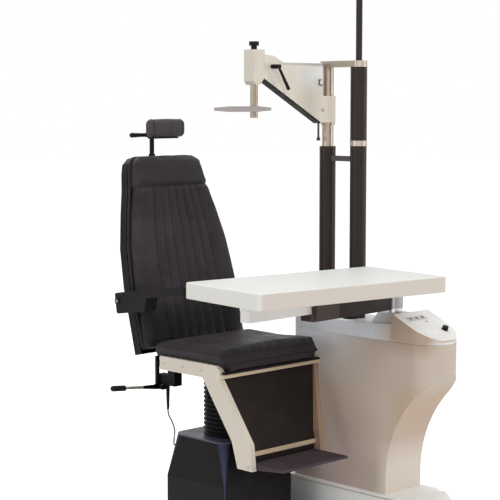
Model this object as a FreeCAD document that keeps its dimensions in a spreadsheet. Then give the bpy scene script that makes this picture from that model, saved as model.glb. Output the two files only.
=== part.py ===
import FreeCAD, Part
import math
import os
import Sketcher
from FreeCAD import Placement, Rotation, Vector

# Ophthalmic examination chair with its instrument stand, in millimetres.
# The origin is the floor point under the middle of the seat lift column.
# +Z is up, the patient faces -Y, and +X is the patient's left, where the console stands.

SIZES = {
    # shared clearances
    "fit_gap": 0.3,
    "pin_gap": 0.05,
    "overrun": 2,
    "service_gap": 3,
    "tiny_round": 2,
    # floor plate
    "plate_thickness": 8,
    "plate_margin": 12,
    "plate_corner": 8,
    # chair base
    "base_width": 344,
    "base_depth": 316,
    "base_box_height": 164,
    "base_cone_height": 151,
    "base_top_width": 284,
    "base_top_depth": 276,
    "base_corner": 6,
    "base_top_corner": 45,
    "base_top_shift": 18,
    "base_wall": 3,
    "base_cap_thickness": 5,
    # lift column
    "column_radius": 60,
    "column_wall": 6,
    "inner_column_wall": 5,
    "column_stand_out": 6,
    "inner_column_drop": 190,
    "lift_length": 247,
    "ram_radius": 18,
    "ram_length": 300,
    "pump_width": 88,
    "pump_depth": 120,
    "pump_height": 110,
    "pump_motor_radius": 38,
    "pump_motor_length": 90,
    # bellows
    "bellows_crest": 95,
    "bellows_valley": 83,
    "bellows_bore": 76,
    "rib_count": 15,
    "rib_crest_share": 0.2,
    "rib_flank_share": 0.35,
    # seat frame
    "seat_frame_half": 228,
    "seat_frame_front": -138,
    "seat_frame_rear": 130,
    "seat_flange_thickness": 12,
    "seat_flange_half": 120,
    "seat_plate_thickness": 12,
    "seat_rail_width": 28,
    "seat_rail_height": 25,
    "ear_thickness": 12,
    "ear_half_depth": 22,
    "ear_x": 163,
    # side brackets and leg rest
    "bracket_thickness": 22,
    "bracket_height": 49,
    "bracket_rear": 104,
    "bracket_front": -217,
    "bracket_chamfer": 20,
    "leg_depth": 92,
    "leg_knee_z": 360,
    "leg_knee_front": -303,
    "leg_knee_inner": 166,
    "leg_foot_z": 267,
    "leg_foot_front": -314,
    "leg_foot_depth": 74,
    "crossbar_height": 12,
    "crossbar_depth": 15,
    "crossbar_rise": 7,
    "low_crossbar_z": 312,
    "low_crossbar_height": 16,
    "low_crossbar_front": -287,
    "low_crossbar_depth": 14,
    "calf_thickness": 16,
    "calf_top_front": -212,
    "calf_low_front": -284,
    "calf_skirt_drop": 34,
    "calf_skirt_lap": 12,
    "calf_skirt_thickness": 12,
    # footplate
    "foot_pivot_y": -296,
    "foot_pivot_z": 281,
    "foot_front": -446,
    "foot_rear": -286,
    "foot_top": 290,
    "foot_thickness": 24,
    "foot_tip_thickness": 9,
    "foot_pin_radius": 5,
    "foot_side_gap": 2,
    "foot_rib_count": 9,
    "foot_rib_height": 1.5,
    "foot_rib_width": 6,
    # seat cushion
    "seat_half_width": 252,
    "seat_front": -246,
    "seat_rear": 150,
    "seat_side_height": 36,
    "seat_crown": 14,
    "seat_front_drop": 22,
    "seat_side_pull": 5,
    "seat_cushion_lap": 1,
    "seat_step_lap": 2,
    "seat_front_round": 24,
    "roll_first_share": 0.13,
    "roll_second_share": 0.5,
    # recline casing, lever and cable
    "casing_inset": 1,
    "casing_width": 37,
    "casing_front": 50,
    "casing_rear": 150,
    "casing_low_drop": 49,
    "casing_low_height": 36,
    "casing_head_front": 50,
    "casing_head_rear": 87,
    "bar_width": 13,
    "bar_front": 132,
    "bar_depth": 10,
    "bar_top_rise": 43,
    "lever_x": -240,
    "lever_y": 120,
    "lever_z": 519,
    "lever_rise_angle": 5.6,
    "lever_hub_radius": 9,
    "lever_hub_half": 11,
    "lever_ear_thickness": 9,
    "lever_pin_radius": 4,
    "lever_root_length": 77,
    "lever_root_radius": 10,
    "lever_root_tip": 6,
    "lever_rod_radius": 5.5,
    "lever_rod_length": 87,
    "lever_grip_radius": 10.5,
    "lever_grip_length": 63,
    "lever_grip_bore_depth": 30,
    "cable_radius": 3,
    "arc_reach_share": 0.45,
    "gland_x": -204,
    "gland_y": 112,
    "gland_radius": 8,
    "gland_tip_radius": 5.5,
    "gland_length": 94,
    "socket_x": -100,
    "socket_z": 262,
    "socket_radius": 7,
    "socket_length": 12,
    # backrest, in its own tilted frame at the recline pivot
    "recline_angle": 13.7,
    "pivot_y": 175,
    "pivot_z": 600,
    "back_front": -31,
    "back_shell_face": 26,
    "back_rear": 63,
    "back_low": 50,
    "back_seam": 655,
    "back_top": 779,
    "back_low_half": 249,
    "back_arm_z": 160,
    "back_arm_half": 250,
    "back_mid_z": 289,
    "back_mid_half": 252,
    "back_rib_z": 436,
    "back_rib_half": 240,
    "back_high_z": 566,
    "back_high_half": 211,
    "back_seam_half": 188,
    "back_brow_z": 722,
    "back_brow_half": 175,
    "back_crest_z": 755,
    "back_crest_half": 164,
    "back_top_half": 136,
    "bolster_share": 0.22,
    "channel_count": 6,
    "channel_crown": 7,
    "bolster_crown": 9,
    "head_crown": 8,
    "back_side_pull": 6,
    "back_edge_round": 14,
    "shell_inset": 1,
    "shell_drop": 14,
    "shell_wall": 3,
    "strap_inner": 150,
    "strap_outer": 162,
    "strap_front": 27,
    "strap_rear": 39,
    "strap_top": 600,
    "eye_radius": 17,
    "hinge_pin_radius": 8,
    # armrests
    "arm_rise_angle": 8.4,
    "arm_pin_across": 36,
    "arm_pin_up": 244,
    "arm_inner": 257,
    "arm_width": 54,
    "arm_rear": 13,
    "arm_front": -370,
    "arm_top": 30,
    "arm_pad_thickness": 30,
    "arm_block_front": -146,
    "arm_block_low": -47,
    "arm_block_round": 18,
    "arm_pad_round": 9,
    "arm_pin_radius": 6.5,
    "arm_cap_radius": 12,
    "arm_cap_thickness": 4,
    # headrest
    "post_y": 432,
    "post_radius": 9,
    "post_low": 1235,
    "post_top": 1426,
    "guide_half": 17,
    "guide_low": 1250,
    "guide_high": 1345,
    "guide_rear": 450,
    "collar_radius": 13,
    "collar_height": 12,
    "yoke_y": 400,
    "yoke_z": 1447,
    "yoke_width": 46,
    "yoke_ear": 8,
    "yoke_pin_radius": 5,
    "headrest_half": 84,
    "headrest_front": 331,
    "headrest_rear": 374,
    "headrest_low": 1424,
    "headrest_top": 1492,
    "headrest_corner": 19,
    "headrest_end_share": 0.86,
    "headrest_board": 6,
    "head_lever_rod": 7.5,
    "head_lever_length": 58,
    "head_lever_grip": 9.5,
    "head_lever_grip_length": 46,
    # console
    "console_near": 320,
    "console_width": 200,
    "console_back": -25,
    "console_nose_centre": -606,
    "console_waist_front": -493,
    "console_waist_z": 185,
    "console_sweep_radius": 450,
    "console_sweep_angle": 45,
    "console_seam_z": 695,
    "console_wall": 4,
    "console_back_corner": 14,
    "plinth_height": 119,
    "plinth_margin": 14,
    "plinth_rear": 20,
    "plinth_front": -606,
    "plinth_corner": 60,
    "cover_back_height": 50,
    "cover_mid_y": -355,
    "cover_mid_height": 54,
    "cover_step_y": -511,
    "cover_step_height": 64,
    "cover_seat_height": 10,
    "cover_gap": 2,
    "power_width": 120,
    "power_depth": 200,
    "power_height": 150,
    # control panel
    "panel_peak_y": -520,
    "panel_peak_z": 795,
    "panel_flat_y": -700,
    "panel_low_z": 712,
    "panel_wall": 4,
    "button_radius": 5,
    "button_stand": 2.5,
    "button_length": 12,
    "button_row_x": 374,
    "button_pitch": 32,
    "button_row_share": 0.22,
    "knob_share": 0.68,
    "knob_x": 465,
    "knob_radius": 11,
    "knob_height": 14,
    "knob_shaft_radius": 3,
    "knob_shaft_length": 12,
    # poles
    "pole_x": 420,
    "arm_pole_y": -104,
    "lamp_pole_y": -260,
    "pole_radius": 31,
    "pole_wall": 3,
    "arm_pole_break": 1390,
    "chrome_pole_radius": 22,
    "chrome_pole_wall": 3,
    "chrome_pole_sink": 220,
    "bracket_plate_low": 1687,
    "bracket_plate_thickness": 23,
    "ring_low": 1394,
    "ring_height": 20,
    "ring_stand": 0.8,
    "pole_cap_height": 10,
    "link_low": 1335,
    "link_height": 20,
    "link_width": 22,
    "lamp_pole_radius": 12,
    "lamp_pole_length": 280,
    "lamp_pole_sink": 40,
    "lamp_spigot_radius": 9,
    # phoropter arm
    "arm_body_half": 26,
    "arm_web_half": 19,
    "arm_sleeve_radius": 29,
    "arm_sleeve_low": 1480,
    "arm_sleeve_high": 1580,
    "arm_back_x": 386,
    "arm_upper_x": 371,
    "arm_top_z": 1701,
    "arm_dip_x": 158,
    "arm_head_top_z": 1745,
    "arm_head_slope_x": 112,
    "arm_head_slope_z": 1724,
    "arm_head_x": 56,
    "arm_step_z": 1729,
    "arm_head_left": 2,
    "arm_head_low_z": 1645,
    "arm_heel_z": 1482,
    "arm_heel_x": 360,
    "head_nose_z": 1618,
    "head_nose_x": 14,
    "head_nose_right": 32,
    "trim_thickness": 5,
    "support_collar_height": 9,
    "support_collar_radius": 27,
    "shaft_x": 27,
    "shaft_radius": 14,
    "shaft_low": 1500,
    "shaft_neck_radius": 8,
    "rail_left": -183,
    "rail_right": 93,
    "rail_low": 1522,
    "rail_height": 20,
    "rail_depth": 9,
    "rail_tip_height": 11,
    "saddle_half": 20,
    "top_knob_radius": 18,
    "top_knob_height": 15,
    "top_knob_neck": 11,
    "top_knob_neck_height": 14,
    "clamp_x": 100,
    "clamp_z": 1685,
    "clamp_hub_radius": 8,
    "clamp_hub_length": 40,
    "clamp_pin_radius": 5,
    "clamp_pin_depth": 16,
    "clamp_length": 94,
    "clamp_tip_radius": 6.5,
    "clamp_angle": 57,
    "clamp_root_share": 0.7,
    "pull_pin_x": 368,
    "pull_pin_radius": 4,
    "pull_pin_low": 1412,
    "pull_pin_sink": 40,
    "pull_pin_head": 7,
    "pull_pin_head_height": 12,
    # table
    "turret_left": 345,
    "turret_right": 455,
    "turret_back": -362,
    "turret_back_top": -420,
    "turret_front": -503,
    "turret_top": 790,
    "post_x": 395,
    "table_post_y": -470,
    "table_post_radius": 24,
    "table_turn_angle": 7,
    "swing_turn_angle": 1.9,
    "table_length": 836,
    "table_depth": 424,
    "table_thickness": 55,
    "table_top_z": 947,
    "table_centre": 417,
    "table_centre_shift": 55.5,
    "table_corner": 22,
    "table_edge": 4,
    "swing_hub_radius": 27,
    "swing_hub_inner": 10,
    "swing_half": 30,
    "swing_beam_end": 62,
    "swing_left": 487,
    "swing_low": 808,
    "swing_top": 891,
    "swing_box_left": 482,
    "swing_box_right": 365,
    "swing_box_front": 40,
    "rail_bar_half": 20,
    "rail_bar_left": 795,
    "rail_bar_right": 162,
    "rail_bar_low": 835,
    "rail_travel": 52,
    "brake_x": 255,
    "brake_radius": 29,
    "brake_height": 12,
    "brake_pin_radius": 6,
}

doc = FreeCAD.newDocument("ExaminationChair")
sheet = doc.addObject("Spreadsheet::Sheet", "Sizes")
for row, (alias, number) in enumerate(SIZES.items(), start=1):
    sheet.set(f"A{row}", alias)
    sheet.set(f"B{row}", str(number))
    sheet.setAlias(f"B{row}", alias)
doc.recompute()


class Size:
    """A length, angle or share that knows its number and the sheet formula that gives it."""

    def __init__(self, number, formula):
        self.number = float(number)
        self.formula = formula

    def __float__(self):
        return self.number

    def __add__(self, other):
        other = as_size(other)
        return Size(self.number + other.number, f"({self.formula} + {other.formula})")

    def __sub__(self, other):
        other = as_size(other)
        return Size(self.number - other.number, f"({self.formula} - {other.formula})")

    def __mul__(self, other):
        other = as_size(other)
        return Size(self.number * other.number, f"({self.formula} * {other.formula})")

    def __truediv__(self, other):
        other = as_size(other)
        return Size(self.number / other.number, f"({self.formula} / {other.formula})")

    def __neg__(self):
        return Size(-self.number, f"(0 - {self.formula})")

    def __radd__(self, other):
        return as_size(other) + self

    def __rsub__(self, other):
        return as_size(other) - self

    def __rmul__(self, other):
        return as_size(other) * self


def as_size(thing):
    return thing if isinstance(thing, Size) else Size(thing, repr(float(thing)))


def sine(angle):
    return Size(math.sin(math.radians(float(angle))), f"sin({angle.formula})")


def cosine(angle):
    return Size(math.cos(math.radians(float(angle))), f"cos({angle.formula})")


class Values:
    """The sheet's cells as sizes, one attribute for each alias."""

    def __init__(self):
        for name in SIZES:
            setattr(self, name, Size(sheet.get(name), f"Sizes.{name}"))


v = Values()
ZERO = Size(0, "0")
CENTRE = (ZERO, ZERO)
QUARTER_TURN = Size(90, "90")


def bind(item, path, size):
    """Ties one property to the sheet; a plain zero is the property's own default."""
    if isinstance(size, Size):
        item.setExpression(path, size.formula)


def move(item, x, y, z):
    for axis, size in zip("xyz", (x, y, z)):
        bind(item, f"Placement.Base.{axis}", size)


# Building blocks. Each takes spans or places as sizes and returns a document object.


def box(name, x, y, z):
    """A block between two places on each axis."""
    item = doc.addObject("Part::Box", name)
    for side, (low, high) in zip(("Length", "Width", "Height"), (x, y, z)):
        bind(item, side, high - low)
    move(item, x[0], y[0], z[0])
    return item


TURNS = {
    "x": Rotation(Vector(0, 1, 0), 90),
    "y": Rotation(Vector(1, 0, 0), -90),
    "z": Rotation(),
}


def along(axis, centre, start):
    """The place of a round piece's lower end, whose axis runs along x, y or z."""
    if axis == "x":
        return start, centre[0], centre[1]
    if axis == "y":
        return centre[0], start, centre[1]
    return centre[0], centre[1], start


def cylinder(name, radius, centre, span, axis="z"):
    item = doc.addObject("Part::Cylinder", name)
    item.Placement = Placement(Vector(), TURNS[axis])
    bind(item, "Radius", radius)
    bind(item, "Height", span[1] - span[0])
    move(item, *along(axis, centre, span[0]))
    return item


def cone(name, low_radius, high_radius, centre, span, axis="z"):
    item = doc.addObject("Part::Cone", name)
    item.Placement = Placement(Vector(), TURNS[axis])
    bind(item, "Radius1", low_radius)
    bind(item, "Radius2", high_radius)
    bind(item, "Height", span[1] - span[0])
    move(item, *along(axis, centre, span[0]))
    return item


def ball(name, radius, x, y, z):
    item = doc.addObject("Part::Sphere", name)
    bind(item, "Radius", radius)
    move(item, x, y, z)
    return item


def taper(name, low, high, z):
    """A four-sided block whose low and high faces, (x, y) spans each, differ."""
    item = doc.addObject("Part::Wedge", name)
    item.Placement = Placement(Vector(), Rotation(Vector(1, 0, 0), 90))
    values = {
        "Xmin": low[0][0], "Xmax": low[0][1], "Zmin": -low[1][1], "Zmax": -low[1][0],
        "X2min": high[0][0], "X2max": high[0][1], "Z2min": -high[1][1], "Z2max": -high[1][0],
        "Ymin": z[0], "Ymax": z[1],
    }
    for prop, size in values.items():
        setattr(item, prop, float(size))
    for prop, size in values.items():
        bind(item, prop, size)
    return item


def fuse(name, *items):
    item = doc.addObject("Part::MultiFuse", name)
    item.Shapes = list(items)
    item.Refine = True
    return item


def cut(name, base, *tools):
    item = doc.addObject("Part::Cut", name)
    item.Base = base
    item.Tool = tools[0] if len(tools) == 1 else fuse(name + "_tools", *tools)
    item.Refine = True
    return item


def common(name, first, second):
    item = doc.addObject("Part::MultiCommon", name)
    item.Shapes = [first, second]
    item.Refine = True
    return item


def tube(name, radius, bore, centre, span, axis="z"):
    outer = cylinder(name + "_wall", radius, centre, span, axis)
    inner = cylinder(name + "_bore", bore, centre, (span[0] - v.overrun, span[1] + v.overrun), axis)
    return cut(name, outer, inner)


def mirrored(name, item):
    """The same piece on the other side of the plane x = 0."""
    other = doc.addObject("Part::Mirroring", name)
    other.Source = item
    other.Normal = Vector(1, 0, 0)
    return other


def arc_centre(start, end, radius):
    """The centre of an arc that turns left from start to end for a positive radius."""
    middle = (start + end) * 0.5
    chord = end - start
    half = chord.Length / 2
    rise = math.sqrt(max(float(radius) ** 2 - half ** 2, 0))
    left = Vector(-chord.y, chord.x, 0).normalize()
    return middle + left * (rise if float(radius) > 0 else -rise)


def outline(sketch, corners):
    """Draws a closed outline; a corner's third entry makes the edge after it an arc."""
    count = len(corners)
    places = [Vector(float(corner[0]), float(corner[1]), 0) for corner in corners]
    for index, corner in enumerate(corners):
        start, end = places[index], places[(index + 1) % count]
        if len(corner) == 2:
            sketch.addGeometry(Part.LineSegment(start, end), False)
            continue
        centre = arc_centre(start, end, corner[2])
        first, last = (start, end) if float(corner[2]) > 0 else (end, start)
        angles = [math.atan2(place.y - centre.y, place.x - centre.x) for place in (first, last)]
        circle = Part.Circle(centre, Vector(0, 0, 1), abs(float(corner[2])))
        sketch.addGeometry(Part.ArcOfCircle(circle, *angles), False)
    for index, corner in enumerate(corners):
        following = corners[(index + 1) % count]
        end_point = 2 if len(corner) == 2 or float(corner[2]) > 0 else 1
        start_point = 1 if len(following) == 2 or float(following[2]) > 0 else 2
        sketch.addConstraint(
            Sketcher.Constraint("Coincident", index, end_point, (index + 1) % count, start_point)
        )
    for index, corner in enumerate(corners):
        point = 1 if len(corner) == 2 or float(corner[2]) > 0 else 2
        for kind, size in zip(("DistanceX", "DistanceY"), corner[:2]):
            number = sketch.addConstraint(
                Sketcher.Constraint(kind, -1, 1, index, point, float(size))
            )
            bind(sketch, f"Constraints[{number}]", size)
        if len(corner) == 3:
            number = sketch.addConstraint(
                Sketcher.Constraint("Radius", index, abs(float(corner[2])))
            )
            radius = corner[2] if float(corner[2]) > 0 else -corner[2]
            bind(sketch, f"Constraints[{number}]", radius)


def new_sketch(body, name, plane):
    sketch = body.newObject("Sketcher::SketchObject", name)
    origin_plane = [f for f in body.Origin.OriginFeatures if f.Role == plane + "_Plane"][0]
    sketch.AttachmentSupport = [(origin_plane, "")]
    sketch.MapMode = "FlatFace"
    return sketch


def extrusion(name, plane, corners, span):
    """A body padded square to the XY, XZ or YZ plane between two places."""
    body = doc.addObject("PartDesign::Body", name)
    sketch = new_sketch(body, name + "_sketch", plane)
    outline(sketch, corners)
    pad = body.newObject("PartDesign::Pad", name + "_pad")
    pad.Profile = sketch
    pad.Reversed = plane == "XZ"
    bind(pad, "Length", span[1] - span[0])
    bind(body, "Placement.Base." + {"XY": "z", "XZ": "y", "YZ": "x"}[plane], span[0])
    return body


def turned(name, corners, place):
    """A body whose outline, places along x with radii, turns about its own x axis."""
    body = doc.addObject("PartDesign::Body", name)
    sketch = new_sketch(body, name + "_sketch", "XZ")
    outline(sketch, corners)
    turning = body.newObject("PartDesign::Revolution", name + "_turning")
    turning.Profile = sketch
    turning.ReferenceAxis = (sketch, ["H_Axis"])
    move(body, *place)
    return body


def round_edges(body, radius, chosen):
    """Rounds the edges of a body that a test picks, in the body's own frame."""
    doc.recompute()
    tip = body.Tip
    names = [f"Edge{n}" for n, edge in enumerate(tip.Shape.Edges, start=1) if chosen(edge)]
    fillet = body.newObject("PartDesign::Fillet", body.Name + "_round")
    fillet.Base = (tip, names)
    bind(fillet, "Radius", radius)
    return body


def is_along(edge, direction):
    """True for a straight edge that runs along a direction."""
    if edge.Curve.TypeId != "Part::GeomLine":
        return False
    return abs(abs(edge.Curve.Direction.dot(direction)) - 1) < SAME


def rounded_block(name, x, y, z, radius):
    """An upright block with its four standing edges rounded."""
    corners = [(x[0], y[0]), (x[1], y[0]), (x[1], y[1]), (x[0], y[1])]
    body = extrusion(name, "XY", corners, z)
    return round_edges(body, radius, lambda edge: is_along(edge, Z_WAY))


SAME = 1e-6
X_WAY = Vector(1, 0, 0)
Y_WAY = Vector(0, 1, 0)
Z_WAY = Vector(0, 0, 1)


def shaped(name, solid):
    """A piece whose solid is written with Part's own functions, from the sheet's numbers."""
    item = doc.addObject("Part::Feature", name)
    item.Shape = solid
    return item


class Frame:
    """A tilted place that a whole piece is moved to: a point and a turn about one axis."""

    def __init__(self, x, y, z, axis, angle):
        self.place = (x, y, z)
        self.axis = axis
        self.angle = angle


BACK = Frame(0, v.pivot_y, v.pivot_z, X_WAY, -v.recline_angle)
arm_pivot_y = (v.pivot_y + v.arm_pin_across * cosine(v.recline_angle)
               + v.arm_pin_up * sine(v.recline_angle))
arm_pivot_z = (v.pivot_z + v.arm_pin_up * cosine(v.recline_angle)
               - v.arm_pin_across * sine(v.recline_angle))
ARM = Frame(0, arm_pivot_y, arm_pivot_z, X_WAY, -v.arm_rise_angle)
TABLE = Frame(v.post_x, v.table_post_y, 0, Z_WAY, -v.table_turn_angle)
SWING = Frame(v.post_x, v.table_post_y, 0, Z_WAY, v.swing_turn_angle)
nodes = []


def node(label, *items, frame=None):
    """Registers one sub-part; more than one item makes a group of separate solids."""
    if frame is None and len(items) == 1:
        piece = items[0]
    else:
        piece = doc.addObject("Part::Compound", label)
        piece.Links = list(items)
        if frame is not None:
            piece.Placement = Placement(Vector(), Rotation(frame.axis, -1))
            bind(piece, "Placement.Rotation.Angle", frame.angle)
            move(piece, *frame.place)
    piece.Label = label
    nodes.append(piece)
    return piece


# Levels and places that several pieces share.

floor_top = v.plate_thickness
base_shoulder = floor_top + v.base_box_height
base_top = base_shoulder + v.base_cone_height
cap_top = base_top + v.base_cap_thickness
seat_low = cap_top + v.lift_length
bracket_low = seat_low + v.seat_flange_thickness
cushion_low = bracket_low + v.seat_rail_height
bracket_top = bracket_low + v.bracket_height
bracket_outer = v.seat_frame_half + v.bracket_thickness
plinth_top = floor_top + v.plinth_height
console_far = v.console_near + v.console_width
console_nose = v.console_width / 2
pole_bore = v.pole_radius + v.fit_gap
table_low = v.table_top_z - v.table_thickness


def make_floor_plate():
    half_width = v.base_width / 2 + v.plate_margin
    half_depth = v.base_depth / 2 + v.plate_margin
    near = v.console_near - v.plinth_margin
    far = console_far + v.plinth_margin
    corners = [
        (-half_width, -half_depth), (near, -half_depth), (near, v.plinth_front),
        (far, v.plinth_front), (far, half_depth), (-half_width, half_depth),
    ]
    plate = extrusion("floor_plate", "XY", corners, (ZERO, floor_top))
    node("floor_plate", round_edges(plate, v.plate_corner, lambda edge: is_along(edge, Z_WAY)))


def rounded_rectangle(body, name, half_x, half_y, radius, height, shift):
    """A sketch of a rectangle with round corners, at a height in its body and shifted along y."""
    sketch = new_sketch(body, name, "XY")
    bind(sketch, "AttachmentOffset.Base.y", shift)
    bind(sketch, "AttachmentOffset.Base.z", height)
    x, y, r = half_x, half_y, radius
    outline(sketch, [
        (r - x, -y), (x - r, -y, r), (x, r - y), (x, y - r, r),
        (x - r, y), (r - x, y, r), (-x, y - r), (-x, r - y, r),
    ])
    return sketch


def housing_body(name, inset, low, high):
    """The chair base's outer form: an upright box under a tapering hood."""
    body = doc.addObject("PartDesign::Body", name)
    wide = (v.base_width / 2 - inset, v.base_depth / 2 - inset, v.base_corner - inset / 2)
    narrow = (v.base_top_width / 2 - inset, v.base_top_depth / 2 - inset, v.base_top_corner - inset)
    foot = rounded_rectangle(body, name + "_foot", *wide, low, ZERO)
    box_pad = body.newObject("PartDesign::Pad", name + "_box")
    box_pad.Profile = foot
    bind(box_pad, "Length", base_shoulder - low)
    shoulder = rounded_rectangle(body, name + "_shoulder", *wide, base_shoulder, ZERO)
    brow = rounded_rectangle(body, name + "_brow", *narrow, high, v.base_top_shift)
    hood = body.newObject("PartDesign::AdditiveLoft", name + "_hood")
    hood.Profile = shoulder
    hood.Sections = [brow]
    hood.Ruled = True
    return body


def make_chair_base():
    outer = housing_body("base_outer", ZERO, floor_top, base_top)
    inner = housing_body("base_inner", v.base_wall, floor_top - v.overrun, base_top + v.overrun)
    shell = cut("base_shell", outer, inner)
    draw_in = (v.base_depth - v.base_top_depth) / 2 - v.base_top_shift
    slope = draw_in / v.base_cone_height
    skin = v.base_depth / 2 - slope * (v.socket_z - base_shoulder)
    socket = cylinder("base_socket", v.socket_radius, (v.socket_x, v.socket_z),
                      (skin - v.base_wall / 2, skin + v.socket_length), "y")
    node("chair_base_housing", fuse("chair_base_housing", shell, socket))
    cap = doc.addObject("PartDesign::Body", "base_cap_plate")
    half = (v.base_top_width / 2, v.base_top_depth / 2, v.base_top_corner)
    pad = cap.newObject("PartDesign::Pad", "base_cap_pad")
    pad.Profile = rounded_rectangle(cap, "base_cap_sketch", *half, base_top, v.base_top_shift)
    bind(pad, "Length", v.base_cap_thickness)
    hole = cylinder("base_cap_hole", v.column_radius + v.fit_gap, (0, 0),
                    (base_top - v.overrun, cap_top + v.overrun))
    node("chair_base_cap", cut("chair_base_cap", cap, hole))


def make_lift():
    column_top = cap_top + v.column_stand_out
    bore = v.column_radius - v.column_wall
    node("lift_outer_column", tube("lift_outer_column", v.column_radius, bore, (0, 0),
                                   (floor_top, column_top)))
    inner_radius = bore - v.fit_gap
    inner_bore = inner_radius - v.inner_column_wall
    inner_low = cap_top - v.inner_column_drop
    sleeve = tube("inner_sleeve", inner_radius, inner_bore, (0, 0), (inner_low, seat_low))
    head = cylinder("inner_head", inner_radius, (0, 0), (seat_low - v.seat_flange_thickness, seat_low))
    node("lift_inner_column", fuse("lift_inner_column", sleeve, head))
    ram = cylinder("ram_barrel", v.ram_radius, (0, 0), (floor_top, floor_top + v.ram_length))
    foot = cylinder("ram_foot", bore - v.fit_gap, (0, 0), (floor_top, floor_top + v.plate_thickness))
    node("lift_ram", fuse("lift_ram", ram, foot))
    left = v.column_radius + v.service_gap
    top = floor_top + v.pump_height
    block = box("pump_block", (left, left + v.pump_width - v.pump_motor_radius / 2),
                (-v.pump_depth / 2, v.pump_depth / 2), (floor_top, top))
    motor = cylinder("pump_motor", v.pump_motor_radius, (left + v.pump_motor_radius, 0),
                     (top, top + v.pump_motor_length))
    node("lift_pump_unit", fuse("lift_pump_unit", block, motor))


def make_bellows():
    """Ribs as a ruled loft through four circles each, with a plain bore."""
    count = int(float(v.rib_count))
    low, pitch = float(cap_top), float(v.lift_length) / float(v.rib_count)
    crest, flank = float(v.rib_crest_share) * pitch, float(v.rib_flank_share) * pitch
    circles = []
    for rib in range(count):
        foot = low + rib * pitch
        stations = (
            (float(v.bellows_valley), 0), (float(v.bellows_crest), flank),
            (float(v.bellows_crest), flank + crest), (float(v.bellows_valley), 2 * flank + crest),
        )
        for radius, rise in stations:
            circle = Part.Circle(Vector(0, 0, foot + rise), Z_WAY, radius)
            circles.append(Part.Wire([circle.toShape()]))
    end = Part.Circle(Vector(0, 0, low + count * pitch), Z_WAY, float(v.bellows_valley))
    circles.append(Part.Wire([end.toShape()]))
    skin = Part.makeLoft(circles, True, True)
    bore = Part.makeCylinder(float(v.bellows_bore), float(v.lift_length + 2 * v.overrun),
                             Vector(0, 0, low - float(v.overrun)))
    node("lift_bellows", shaped("lift_bellows", skin.cut(bore)))


def both_sides(name, build):
    """A pair of like pieces, the left one built and the right one mirrored."""
    left = build(name + "_left")
    return left, mirrored(name + "_right", left)


def make_seat_frame():
    half = v.seat_frame_half
    plate_top = bracket_low + v.seat_plate_thickness
    flange_span = (-v.seat_flange_half, v.seat_flange_half)
    flange = box("frame_flange", flange_span, flange_span, (seat_low, bracket_low))
    plate = box("frame_plate", (-half, half), (v.seat_frame_front, v.seat_frame_rear),
                (bracket_low, plate_top))
    rails = both_sides("frame_rail", lambda name: box(
        name, (half - v.seat_rail_width, half), (v.seat_frame_front, v.seat_frame_rear),
        (plate_top, cushion_low)))
    ear_low = v.pivot_z - v.ear_half_depth
    ears = both_sides("frame_ear", lambda name: extrusion(name, "YZ", [
        (v.seat_frame_rear - v.ear_half_depth, bracket_low),
        (v.pivot_y, ear_low),
        (v.pivot_y + v.ear_half_depth, ear_low),
        (v.pivot_y + v.ear_half_depth, v.pivot_z),
        (v.pivot_y, v.pivot_z + v.ear_half_depth), (v.seat_rear, v.pivot_z),
        (v.seat_frame_rear - v.ear_half_depth, v.pivot_z - v.tiny_round),
    ], (v.ear_x, v.ear_x + v.ear_thickness)))
    blank = fuse("frame_blank", flange, plate, *rails, *ears)
    hole = cylinder("frame_pin_hole", v.hinge_pin_radius + v.fit_gap, (v.pivot_y, v.pivot_z),
                    (-half, half), "x")
    node("seat_frame", cut("seat_frame", blank, hole))


def make_side_bracket():
    half = v.seat_frame_half
    rail = extrusion("bracket_rail", "YZ", [
        (v.bracket_rear, bracket_low), (v.bracket_rear, bracket_top),
        (v.bracket_front + v.bracket_chamfer, bracket_top),
        (v.bracket_front, bracket_top - v.bracket_chamfer),
        (v.bracket_front, bracket_low),
    ], (half, bracket_outer))
    knee_outer = v.leg_knee_inner + v.bracket_thickness
    knee = ((v.leg_knee_inner, knee_outer), (v.leg_knee_front, v.leg_knee_front + v.leg_depth))
    hip = ((half, bracket_outer), (v.bracket_front, v.bracket_front + v.leg_depth))
    foot = ((v.leg_knee_inner, knee_outer), (v.leg_foot_front, v.leg_foot_front + v.leg_foot_depth))
    shin = taper("bracket_shin", knee, hip, (v.leg_knee_z, bracket_low))
    ankle = taper("bracket_ankle", foot, knee, (v.leg_foot_z, v.leg_knee_z))
    blank = fuse("bracket_blank", rail, shin, ankle)
    hole = cylinder("bracket_pin_hole", v.foot_pin_radius + v.pin_gap,
                    (v.foot_pivot_y, v.foot_pivot_z),
                    (v.leg_knee_inner - v.overrun, knee_outer + v.overrun), "x")
    left = cut("left_side_bracket", blank, hole)
    node("left_side_bracket", left)
    node("right_side_bracket", mirrored("right_side_bracket", left))


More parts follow.
